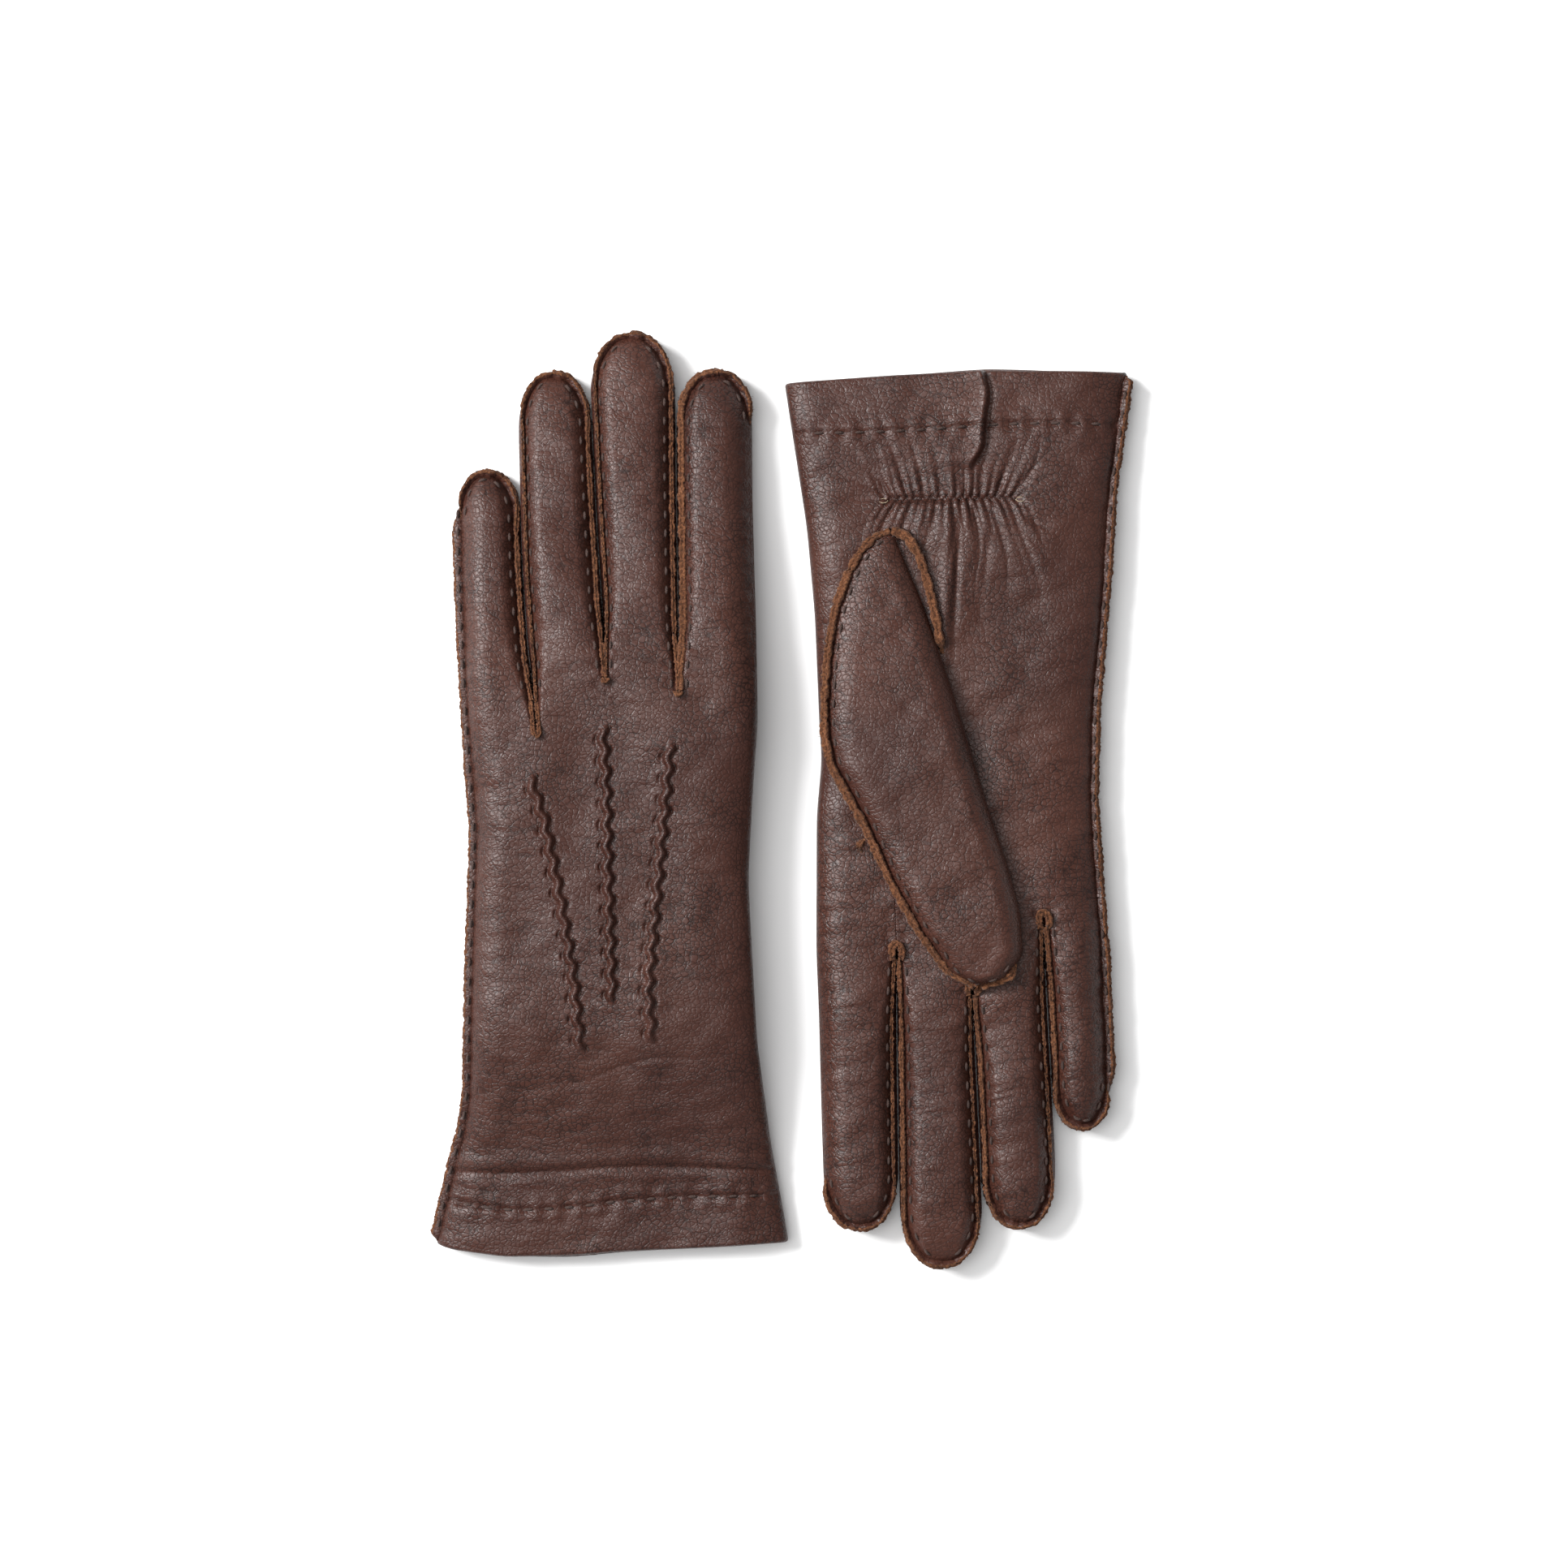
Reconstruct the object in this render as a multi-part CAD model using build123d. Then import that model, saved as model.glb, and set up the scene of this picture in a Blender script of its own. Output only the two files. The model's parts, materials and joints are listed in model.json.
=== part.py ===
from build123d import *
import math
import os

# A pair of hand-sewn leather dress gloves lying flat, in millimetres.
# The left glove lies back up, fingers towards +Y, with its thumb folded under the palm.
# The right glove lies palm up, fingers towards -Y, with its thumb folded over the palm.
# Both share one plan layout (u, v): +u towards the index side, +v towards the fingertips.

# Materials and clearances
LEATHER = 1.0
LINING = 0.6
JOINT_GAP = 0.25

# Where each glove's plan origin lies, and how it is turned about +Z
GLOVE_PLACE = {
    "left": Location((-46.0, 0, 0)),
    "right": Location((49.0, 0, 0), (0, 0, 180)),
}

# Fingers: root centre u, half width at the root, tip centre (u, v) and tip radius
FINGER_PLAN = {
    "index": (29.3, 10.3, (28.2, 104.5), 9.7),
    "middle": (8.8, 9.6, (6.0, 113.8), 10.2),
    "ring": (-11.0, 9.6, (-14.6, 104.6), 9.1),
    "little": (-30.2, 9.1, (-32.4, 78.9), 8.6),
}
FINGER_HEIGHT = 11.6
FINGER_ROUND = 2.0
ROOT_OVERRUN = 8.0
# Sides of each finger that have a fourchette, the strip sewn in between two fingers
FOURCHETTE_SIDES = {"index": (-1,), "middle": (-1, 1), "ring": (-1, 1), "little": (1,)}
FOURCHETTE_BAND = (3.4, 8.2)
FOURCHETTE_PAST_TIP = 2.0

# v of the line at which each finger bends, by glove
HINGE_V = {
    "left": {"index": 38.0, "middle": 38.0, "ring": 38.0, "little": 32.5},
    "right": {"index": 42.0, "middle": 52.0, "ring": 52.0, "little": 34.0},
}
# Height of the underside of the fingers at their roots: the left palm lies on its thumb
ROOT_BASE = {"left": 8.8, "right": 0.0}

# Hand: stations of v, u at the little side, u at the index side, underside z and top z.
# The cuffs reach just below the table's height, and are cut off flat there.
HAND_END = 31.7
HAND_ROUND = 4.2
HAND_STATIONS = {
    "left": [
        (-118.0, -47.5, 46.9, -0.05, 8.6),
        (-96.0, -43.3, 43.2, -0.05, 10.4),
        (-62.0, -39.0, 39.2, 8.8, 20.4),
        (-20.0, -37.4, 37.2, 8.8, 20.4),
        (HAND_END, -40.0, 39.8, 8.8, 20.4),
    ],
    "right": [
        (-113.2, -44.5, 47.8, -0.05, 8.6),
        (-95.0, -42.0, 46.0, -0.05, 10.4),
        (-73.0, -39.6, 42.6, 0.5, 12.0),
        (-18.0, -35.8, 39.4, 0.5, 12.0),
        (HAND_END, -38.6, 40.2, 0.5, 12.0),
    ],
}

# Thumb: one height for both gloves; each plan is the outline round these circles, tip first
THUMB_HEIGHT = 7.9
THUMB_ROUND = 1.8
LEFT_THUMB_PIVOT = (23.5, -44.0)
THUMB_CIRCLES = {
    "left": [((-1.5, 23.0), 10.5), (LEFT_THUMB_PIVOT, 13.5)],
    "right": [((-4.3, 39.0), 10.5), ((22.0, -56.0), 14.5), ((32.6, -14.0), 5.0)],
}
THUMB_HOLE_RADIUS = 10.0
# The right thumb bends along the line from its inner seam end to its quirk
RIGHT_THUMB_SEAM_END = (6.8, -38.5)
RIGHT_THUMB_QUIRK_END = (36.6, -9.0)
RIGHT_THUMB_BASE = {"root": 12.0, "stall": 12.5}
QUIRK_SIZE = (6.0, 1.8, 2.4)

# Stitches: a running stitch of thick thread
STITCH_PITCH = 5.1
STITCH_SIZE = (2.0, 0.6, 0.4)
SEAM_MARGIN = 0.8
SIDE_SEAM_INSET = 4.6
HEM_WIDTH = 11.0
POINT_LINES = [
    [(-20.8, 6.6), (-12.1, -28.7), (-7.2, -66.7)],
    [(-1.5, 19.9), (0.0, -19.7), (1.0, -53.8)],
    [(16.4, 15.1), (11.5, -37.8), (11.5, -64.3)],
]

# Flat elastic sewn inside the palm side of the wrist
ELASTIC_V = -79.7
ELASTIC_CENTRE_U = {"left": 0.0, "right": 4.2}
ELASTIC_SIZE = (34.0, 5.0)


def slab_between(v_from, v_to, z_from=-50.0, z_to=50.0):
    """A wide block that keeps what lies between two values of v and of z."""
    middle = Pos(0, (v_from + v_to) / 2, (z_from + z_to) / 2)
    return middle * Box(400, v_to - v_from, z_to - z_from)


def save(shape, glove, piece):
    """Place a piece with its glove and write it to its own file."""
    placed = GLOVE_PLACE[glove] * shape
    export_step(placed, f"parts/{glove}_{piece}.step")


def soft_prism(outline, height, radius, inset):
    """Raise an outline from z = 0. The outer shape gets round edges, an inner one stays square."""
    prism = extrude(outline, height - 2 * inset)
    if inset:
        return prism
    return fillet(prism.faces().filter_by(Axis.Z).edges(), radius)


def finger_tilt(glove, finger):
    """Angle in degrees by which a finger slopes down from its root to the table."""
    _, _, (_, tip_v), tip_radius = FINGER_PLAN[finger]
    reach = tip_v + tip_radius - FINGER_ROUND - HINGE_V[glove][finger]
    return math.degrees(math.atan2(ROOT_BASE[glove], reach))


def finger_outline(glove, finger, inset):
    """Plan of a finger before it is tilted: a tapering strip with a round tip."""
    root_u, root_half, (tip_u, tip_v), tip_radius = FINGER_PLAN[finger]
    hinge_v = HINGE_V[glove][finger]
    flat_tip_v = hinge_v + (tip_v - hinge_v) / math.cos(math.radians(finger_tilt(glove, finger)))
    root = Pos(root_u, hinge_v - ROOT_OVERRUN + inset) * Rectangle(2 * (root_half - inset), 1)
    tip = Pos(tip_u, flat_tip_v) * Circle(tip_radius - inset)
    return make_hull((root + tip).edges())


def finger_prism(glove, finger, inset):
    """One closed shape of a finger, inset from its outer face, standing on z = 0."""
    outline = finger_outline(glove, finger, inset)
    return Pos(0, 0, inset) * soft_prism(outline, FINGER_HEIGHT, FINGER_ROUND, inset)


def settle_finger(shape, glove, finger):
    """Tilt a finger's piece about its upper root edge, lift it, and trim it at the hinge."""
    hinge_v = HINGE_V[glove][finger]
    pivot = Pos(0, hinge_v, FINGER_HEIGHT)
    tilted = pivot * Rot(-finger_tilt(glove, finger), 0, 0) * pivot.inverse() * shape
    lifted = Pos(0, 0, ROOT_BASE[glove]) * tilted
    return lifted & slab_between(hinge_v + JOINT_GAP, 200.0)


def fourchette_cutter(glove, finger, side):
    """The block that takes one fourchette out of a finger's shell."""
    root_u, _, (tip_u, tip_v), _ = FINGER_PLAN[finger]
    start_v = HINGE_V[glove][finger] - 2 * ROOT_OVERRUN
    end_v = tip_v + FOURCHETTE_PAST_TIP
    reach = 30.0 * side
    corners = [(root_u, start_v), (tip_u, end_v), (tip_u + reach, end_v), (root_u + reach, start_v)]
    low, high = FOURCHETTE_BAND
    return Pos(0, 0, low) * extrude(Polygon(*corners, align=None), high - low, dir=(0, 0, 1))


def stitch(u, v, z, turn):
    """One visible stitch lying on the leather at height z."""
    length, width, height = STITCH_SIZE
    bar = Box(length, width, height, align=(Align.CENTER, Align.CENTER, Align.MIN))
    return Pos(u, v, z) * Rot(0, 0, turn) * bar


def stitches_round(outline, z, first_v):
    """Stitches along an outline, leaving out those below a given v."""
    wire = outline.faces()[0].outer_wire()
    count = int(wire.length / STITCH_PITCH)
    row = []
    for step in range(count):
        place = wire.position_at(step / count)
        along = wire.tangent_at(step / count)
        if place.Y > first_v:
            row.append(stitch(place.X, place.Y, z, math.degrees(math.atan2(along.Y, along.X))))
    return row


def make_finger(glove, finger):
    """Leather, fourchettes, lining and seam thread of one finger."""
    outer = finger_prism(glove, finger, 0)
    inner = finger_prism(glove, finger, LEATHER)
    hollow = finger_prism(glove, finger, LEATHER + LINING)
    leather = outer - inner
    side_names = {-1: "little_side", 1: "index_side"}
    for side in FOURCHETTE_SIDES[finger]:
        cutter = fourchette_cutter(glove, finger, side)
        fourchette = settle_finger((outer - inner) & cutter, glove, finger)
        save(fourchette, glove, f"{finger}_fourchette_{side_names[side]}")
        leather = leather - cutter
    save(settle_finger(leather, glove, finger), glove, f"{finger}_leather")
    save(settle_finger(inner - hollow, glove, finger), glove, f"{finger}_lining")
    seam = finger_outline(glove, finger, FINGER_ROUND + SEAM_MARGIN)
    row = stitches_round(seam, FINGER_HEIGHT, HINGE_V[glove][finger] + STITCH_PITCH)
    save(settle_finger(Compound(row), glove, finger), glove, f"{finger}_thread")


def hand_section(station, inset):
    """One cross-section of the hand, inset from its outer face."""
    v, u_little, u_index, z_low, z_high = station
    plane = Plane(((u_little + u_index) / 2, v, (z_low + z_high) / 2), (1, 0, 0), (0, 1, 0))
    width = u_index - u_little - 2 * inset
    height = z_high - z_low - 2 * inset
    return plane * RectangleRounded(width, height, HAND_ROUND - inset)


def hand_middle_block(glove):
    """The block above the surface half way up the hand, where back and palm meet."""
    sections = []
    for v, _, _, z_low, z_high in HAND_STATIONS[glove]:
        middle = (z_low + z_high) / 2
        plane = Plane((0, v, middle + 30), (1, 0, 0), (0, 1, 0))
        sections.append(plane * Rectangle(200, 60))
    first, last = sections[0], sections[-1]
    return loft([Pos(0, -10, 0) * first, *sections, Pos(0, 60, 0) * last], ruled=True)


def hand_block(glove, inset):
    """The hand with the stubs of its fingers, inset from its outer face."""
    sections = [hand_section(station, inset) for station in HAND_STATIONS[glove]]
    if inset:
        sections[0] = Pos(0, -1, 0) * sections[0]
        sections[-1] = Pos(0, -inset, 0) * sections[-1]
    block = loft(sections, ruled=True)
    for finger, (root_u, root_half, _, _) in FINGER_PLAN.items():
        hinge_v = HINGE_V[glove][finger]
        end_v = hinge_v + inset
        start_v = HAND_END - ROOT_OVERRUN
        middle = (ROOT_BASE[glove] + FINGER_HEIGHT / 2)
        plane = Plane((root_u, start_v, middle), (1, 0, 0), (0, 1, 0))
        tube = RectangleRounded(
            2 * (root_half - inset), FINGER_HEIGHT - 2 * inset, max(FINGER_ROUND - inset, 0.3)
        )
        stub = extrude(plane * tube, end_v - start_v, dir=(0, 1, 0))
        block = block + stub
    return block


def face_of_hand(glove, v, upper):
    """Height of the upper or lower face of the hand at v, and its slope in degrees."""
    stations = HAND_STATIONS[glove]
    heights = [(station[0], station[4] if upper else station[3]) for station in stations]
    for (v_a, z_a), (v_b, z_b) in zip(heights, heights[1:]):
        if v <= v_b:
            rise = (z_b - z_a) / (v_b - v_a)
            return z_a + rise * (v - v_a), math.degrees(math.atan(rise))
    return heights[-1][1], 0.0


def stitches_along(glove, points, pitch, upper=True):
    """Stitches on the upper or lower face of the hand along a polyline of (u, v) points."""
    wire = Polyline(*points)
    count = int(wire.length / pitch)
    drop = 0 if upper else STITCH_SIZE[2]
    row = []
    for step in range(count + 1):
        place = wire.position_at(step / max(count, 1))
        along = wire.tangent_at(step / max(count, 1))
        height, slope = face_of_hand(glove, place.Y, upper)
        bar = stitch(0, 0, 0, math.degrees(math.atan2(along.Y, along.X)))
        row.append(Pos(place.X, place.Y, height - drop) * Rot(slope, 0, 0) * bar)
    return row


def side_seam_points(glove):
    """The line of the side seam on the little finger's side of the hand."""
    points = []
    for v, u_little, _, _, _ in HAND_STATIONS[glove]:
        points.append((u_little + SIDE_SEAM_INSET, v))
    start_u, start_v = points[0]
    points[0] = (start_u, start_v + STITCH_PITCH / 2)
    end_u, end_v = points[-1]
    points[-1] = (end_u, end_v - STITCH_PITCH / 2)
    return points


def hem_points(glove):
    """The line of the hem stitches across the cuff."""
    v, u_little, u_index, _, _ = HAND_STATIONS[glove][0]
    return [(u_little + 9.0, v + HEM_WIDTH), (u_index - 9.0, v + HEM_WIDTH)]


def thumb_outline(glove, inset):
    """Plan of the thumb: the outline drawn tight round its circles, inset from its outer face."""
    circles = [Pos(*centre) * Circle(radius - inset) for centre, radius in THUMB_CIRCLES[glove]]
    return make_hull(sum(circles[1:], circles[0]).edges())


def thumb_prism(glove, inset, base, height):
    """One closed shape of the thumb, inset from its outer face, standing on z = base."""
    body = soft_prism(thumb_outline(glove, inset), height, THUMB_ROUND, inset)
    return Pos(0, 0, base + inset) * body


def beyond_thumb_hinge(gap):
    """The half space on the tip's side of the right thumb's hinge line."""
    (u_a, v_a), (u_b, v_b) = RIGHT_THUMB_SEAM_END, RIGHT_THUMB_QUIRK_END
    turn = math.degrees(math.atan2(v_b - v_a, u_b - u_a))
    block = Pos(0, 200 + gap, 0) * Box(400, 400, 200)
    return Pos(u_a, v_a) * Rot(0, 0, turn) * block


def thumb_thread(glove, base, first_v):
    """Seam stitches round the thumb on its upper face."""
    seam = thumb_outline(glove, THUMB_ROUND + SEAM_MARGIN)
    return Compound(stitches_round(seam, base + THUMB_HEIGHT, first_v))


def thumb_quirk(glove, base):
    """The little gusset tab that stands at the index side of the thumb, near its base."""
    wire = thumb_outline(glove, 0).faces()[0].outer_wire()
    (tip_u, tip_v), _ = THUMB_CIRCLES[glove][0]
    straight = [edge for edge in wire.edges() if edge.geom_type == GeomType.LINE]
    index_side = max(straight, key=lambda edge: (edge @ 0.5).X + (edge @ 0.5).Y)
    place, along = index_side @ 0.5, index_side % 0.5
    turn = math.degrees(math.atan2(along.Y, along.X))
    outwards = -1 if Vector(tip_u - place.X, tip_v - place.Y).cross(along).Z < 0 else 1
    length, depth, height = QUIRK_SIZE
    tab = Pos(0, outwards * depth / 2, base + THUMB_HEIGHT / 2) * Box(length, depth, height)
    return Pos(place.X, place.Y) * Rot(0, 0, turn) * tab


def make_left_thumb():
    """The left thumb lies under the palm and swings about a vertical line at its base."""
    outer = thumb_prism("left", 0, 0, THUMB_HEIGHT)
    inner = thumb_prism("left", LEATHER, 0, THUMB_HEIGHT)
    hollow = thumb_prism("left", LEATHER + LINING, 0, THUMB_HEIGHT)
    mouth = Pos(*LEFT_THUMB_PIVOT, THUMB_HEIGHT) * Cylinder(THUMB_HOLE_RADIUS, 6)
    save(outer - inner - mouth, "left", "thumb_leather")
    save(inner - hollow - mouth, "left", "thumb_lining")
    save(thumb_thread("left", 0, LEFT_THUMB_PIVOT[1]), "left", "thumb_thread")
    save(thumb_quirk("left", 0), "left", "thumb_quirk")


def make_right_thumb():
    """The right thumb lies on the palm; its root is sewn round the hole in the palm."""
    root_base, stall_base = RIGHT_THUMB_BASE["root"], RIGHT_THUMB_BASE["stall"]
    # The root has no floor: its walls stand on the palm round the hole
    sunk_base = root_base - THUMB_ROUND
    sunk_height = stall_base + THUMB_HEIGHT - sunk_base
    root = thumb_prism("right", 0, sunk_base, sunk_height)
    root = root - thumb_prism("right", LEATHER, sunk_base, sunk_height)
    root = root & slab_between(-200, 200, root_base, 50)
    save(root - beyond_thumb_hinge(0), "right", "thumb_root")
    stall = beyond_thumb_hinge(JOINT_GAP)
    outer = thumb_prism("right", 0, stall_base, THUMB_HEIGHT)
    inner = thumb_prism("right", LEATHER, stall_base, THUMB_HEIGHT)
    hollow = thumb_prism("right", LEATHER + LINING, stall_base, THUMB_HEIGHT)
    save((outer - inner) & stall, "right", "thumb_leather")
    save((inner - hollow) & stall, "right", "thumb_lining")
    save(thumb_thread("right", stall_base, RIGHT_THUMB_QUIRK_END[1] + 4), "right", "thumb_thread")
    save(thumb_quirk("right", stall_base), "right", "thumb_quirk")


def thumb_hole(glove):
    """What the thumb's opening takes out of the palm and its lining."""
    if glove == "left":
        z = HAND_STATIONS[glove][3][3]
        return Pos(*LEFT_THUMB_PIVOT, z) * Cylinder(THUMB_HOLE_RADIUS, 6)
    top = RIGHT_THUMB_BASE["root"]
    hole = Pos(0, 0, top - 3) * extrude(thumb_outline(glove, LEATHER + LINING), 6)
    return hole - beyond_thumb_hinge(-2.0)


def make_hand(glove):
    """Back, palm, lining, elastic and threads of the hand."""
    above_table = Pos(0, 0, 100) * Box(400, 400, 200)
    outer = hand_block(glove, 0) & above_table
    inner = hand_block(glove, LEATHER)
    hollow = hand_block(glove, LEATHER + LINING)
    hole = thumb_hole(glove)
    shell = outer - inner
    upper = hand_middle_block(glove)
    panels = {"back": shell & upper, "palm": shell - upper}
    if glove == "right":
        panels = {"back": shell - upper, "palm": shell & upper}
    save(panels["back"], glove, "back")
    save(panels["palm"] - hole, glove, "palm")

    length, width = ELASTIC_SIZE
    band = Pos(ELASTIC_CENTRE_U[glove], ELASTIC_V) * Box(length, width, 60)
    lining = (inner & outer) - hollow - hole
    palm_side = upper if glove == "right" else Pos(0, 0, -60) * upper
    elastic = lining & band & palm_side
    save(elastic, glove, "wrist_elastic")
    save(lining - elastic, glove, "hand_lining")

    save(Compound(stitches_along(glove, hem_points(glove), STITCH_PITCH)), glove, "hem_thread")
    side_seam = Compound(stitches_along(glove, side_seam_points(glove), STITCH_PITCH))
    save(side_seam - panels["back"] - panels["palm"], glove, "side_seam_thread")
    points = []
    for line in POINT_LINES:
        points += stitches_along(glove, line, STITCH_PITCH / 2, upper=glove == "left")
    save(Compound(points), glove, "points_thread")


os.makedirs("parts", exist_ok=True)
for glove_name in GLOVE_PLACE:
    make_hand(glove_name)
    for finger_name in FINGER_PLAN:
        make_finger(glove_name, finger_name)
make_left_thumb()
make_right_thumb()
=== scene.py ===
"""A pair of hand-sewn leather dress gloves: leather skins, raw seam edges, stitches and linings.

Each glove is built in its own plan, in millimetres: u runs across it towards the index side,
v runs along it towards the fingertips, and z is the height above the table.
"""
import json
import math

import bpy
import numpy as np
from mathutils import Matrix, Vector


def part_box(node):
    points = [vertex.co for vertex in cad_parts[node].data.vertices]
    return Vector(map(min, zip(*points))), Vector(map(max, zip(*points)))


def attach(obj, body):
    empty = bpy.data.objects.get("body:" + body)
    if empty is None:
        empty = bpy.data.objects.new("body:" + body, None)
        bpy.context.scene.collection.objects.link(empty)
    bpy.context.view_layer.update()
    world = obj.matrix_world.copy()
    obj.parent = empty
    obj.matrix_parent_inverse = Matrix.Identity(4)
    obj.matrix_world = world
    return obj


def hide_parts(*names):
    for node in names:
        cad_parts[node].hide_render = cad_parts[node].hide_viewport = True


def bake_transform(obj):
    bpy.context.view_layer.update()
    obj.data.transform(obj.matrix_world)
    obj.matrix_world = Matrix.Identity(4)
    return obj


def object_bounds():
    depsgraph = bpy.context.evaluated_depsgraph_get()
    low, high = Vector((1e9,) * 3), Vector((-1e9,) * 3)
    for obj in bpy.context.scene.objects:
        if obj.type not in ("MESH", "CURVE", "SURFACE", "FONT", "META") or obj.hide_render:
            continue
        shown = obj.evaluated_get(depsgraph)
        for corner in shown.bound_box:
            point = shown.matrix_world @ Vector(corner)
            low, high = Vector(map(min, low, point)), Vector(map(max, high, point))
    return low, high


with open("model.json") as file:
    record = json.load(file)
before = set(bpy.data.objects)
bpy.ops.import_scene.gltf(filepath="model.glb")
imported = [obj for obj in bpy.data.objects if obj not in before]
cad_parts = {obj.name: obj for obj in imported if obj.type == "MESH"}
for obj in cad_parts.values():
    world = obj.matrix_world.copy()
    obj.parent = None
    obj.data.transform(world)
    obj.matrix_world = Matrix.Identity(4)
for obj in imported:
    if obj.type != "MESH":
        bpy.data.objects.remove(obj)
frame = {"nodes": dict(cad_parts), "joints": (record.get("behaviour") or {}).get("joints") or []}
cad_low, cad_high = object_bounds()

MM = 0.001
FINGERS = ("little", "ring", "middle", "index")
JOINTS = {joint["name"]: joint for joint in frame["joints"]}

# Mesh fineness
ROW_STEP = 0.45
COLUMNS = 52
TIP_ROWS = 26

# Seams
FLANGE_THICK = 1.7
FLANGE_TALL = 2.1
FLANGE_INSET = 0.6
STITCH_PITCH = 5.1
STITCH_LENGTH = 2.5
STITCH_RADIUS = 0.40
HALF_GAP = 1.12
TIP_LENGTH = 1.55
SIDE_SEAM_WIDTH = 1.8
# Where between the lower and the upper leather a side edge lies
EDGE_SHARE = 0.42
# How far the side seam's edge rises as it runs outwards, and where its stitches lie beside its foot
SIDE_SEAM_STAND = {"left": (0.0, (-0.75, 0.0, 1.0)), "right": (0.7, (-0.35, 0.0, 1.42))}
# How far the palm's crotch loops run on before each finger's own seam edge takes over
PALM_LEG_LENGTH = 2.4
SPLIT_V = 26.0
BEND_LENGTH = 24.0

# Plan of each glove: the five lines that bound its fingers, from the little side to the index side.
# Below each crotch an inner line runs on to the cuff at a steady share of the hand's width.
PLANS = {
    "left": {
        "turn": 1,
        "centre_offset": 0.3,
        "cuff": -118.2,
        "cuff_line": [(-48, -117.4), (-44, -119.4), (-28, -121.5), (-11, -121.3), (3, -120.2),
                      (28, -119), (47, -117.9)],
        "outer": {
            "little": [(-140, -53), (-118, -48.1), (-106, -45.5), (-95, -43.1), (-85, -40.1),
                       (-76, -38.8), (-44, -38.0), (-9, -36.8), (11, -38.4), (35, -39.8),
                       (60, -41.3), (90, -42)],
            "index": [(-140, 50.5), (-116, 47.2), (-92, 42.9), (-64, 39.2), (-30, 37.3),
                      (-20, 36.9), (4.5, 38.2), (20, 39.4), (46, 38.9), (80, 37.9), (125, 37.6)],
        },
        "inner": [
            {"share": 0.262, "line": [(17.6, -18.6), (39.8, -21.4), (61.3, -23.1), (95, -24.4)]},
            {"share": 0.49, "line": [(32, -0.8), (50.5, -1.8), (72, -3.3), (115, -5.6)]},
            {"share": 0.732, "line": [(28.6, 18.5), (50.5, 18.3), (82.8, 17.7), (120, 17.4)]},
        ],
        "low": [(-140, 0.4), (-98, 0.4), (-62, 8.9), (60, 8.9)],
        "high": [(-140, 7.2), (-118, 7.6), (-96, 9.6), (-62, 19.9), (60, 20.0)],
    },
    "right": {
        "turn": -1,
        "centre_offset": 1.65,
        "cuff": -113.4,
        "cuff_line": [(-46, -113.6), (-5, -114), (24, -112.4), (48, -110.7)],
        "outer": {
            "little": [(-140, -49.5), (-114, -44.6), (-97, -42.3), (-83.6, -40.1), (-60, -38.6),
                       (-25, -35.6), (-1, -35.0), (23, -36.6), (44, -38.2), (71, -39.4), (90, -39)],
            "index": [(-140, 53), (-110, 48), (-90.5, 45.2), (-73, 42.7), (-49, 40.5), (-18, 39.2),
                      (-11, 38.6), (4, 40.0), (40, 40.1), (57, 39.4), (88, 38.6), (125, 37.4)],
        },
        "inner": [
            {"share": 0.227, "line": [(31.8, -20.1), (60, -21.6), (95, -23.6)]},
            {"share": 0.465, "line": [(49.5, -1.2), (75, -2.6), (115, -4.4)]},
            {"share": 0.728, "line": [(40.2, 18.8), (60, 18.7), (120, 17.9)]},
        ],
        "low": [(-140, 0.5), (-95, 0.5), (-73, 0.9), (20, 0.9), (60, 0.6)],
        "high": [(-140, 7.6), (-113, 8.0), (-95, 9.8), (-73, 11.8), (60, 11.9)],
    },
}
# v of the crotches between little and ring, ring and middle, middle and index
BACK_CROTCHES = (17.6, 32.0, 28.6)
PALM_CROTCHES = (31.8, 49.5, 40.2)
HEM_V = {"left": 13.4, "right": 14.8}
HEM_PITCH = 5.6
TURN_IN = 13.0
LIP = 0.9

# The three points on the back, as (u, v)
POINTS = [
    [(-20.8, 6.6), (-16.6, -5.8), (-12.1, -28.7), (-9.1, -46.8), (-7.2, -66.7)],
    [(-1.5, 19.9), (-0.6, 4.5), (0.0, -19.7), (0.6, -37.8), (1.0, -53.8)],
    [(16.4, 15.1), (14.2, -8.8), (11.5, -37.8), (10.5, -49.8), (11.5, -64.3)],
]
POINT_WAVE = 5.6

# The gathered wrist on the palm, from its index end to its little end
GATHER_V = -79.7
GATHER_FROM, GATHER_TO = -12.8, 21.2
PLEAT_PITCH = 2.05
# The fold edge of the vent pleat in the palm's cuff, as (v, u)
PLEAT_EDGE = [(-120, -3.6), (-114.2, -3.9), (-107.3, -5.9), (-99.8, -4.6), (-93, -4.4),
              (-87, -0.4)]

# Plan of the right thumb from the arch's apex to its tip: index side, then inner side
THUMB_INDEX_SIDE = [(20.1, -71.2), (24.2, -70.0), (28.3, -65.9), (32.0, -59.4), (35.3, -50.1),
                    (37.3, -38.1), (38.1, -25.8), (38.1, -16.8), (36.4, -9.0), (27.6, 6.7),
                    (20.3, 22.6), (13.2, 35.0), (5.5, 45.6), (-2.5, 49.5)]
THUMB_INNER_SIDE = [(20.1, -71.2), (17.6, -65.0), (11.9, -51.8), (4.0, -28.4), (-5.1, 1.3),
                    (-10.9, 18.7), (-13.9, 30.5), (-14.6, 40.6), (-10.8, 47.2), (-2.5, 49.5)]
ARCH_INNER_SIDE = [(20.1, -71.2), (16.2, -69.8), (12.8, -64.6), (10.4, -56.8), (8.0, -46.0),
                   (6.8, -38.5)]
LEFT_THUMB_TIP = (-1.5, 23.0)
LEFT_THUMB_BASE_RADIUS, LEFT_THUMB_TIP_RADIUS = 13.2, 10.2
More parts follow.
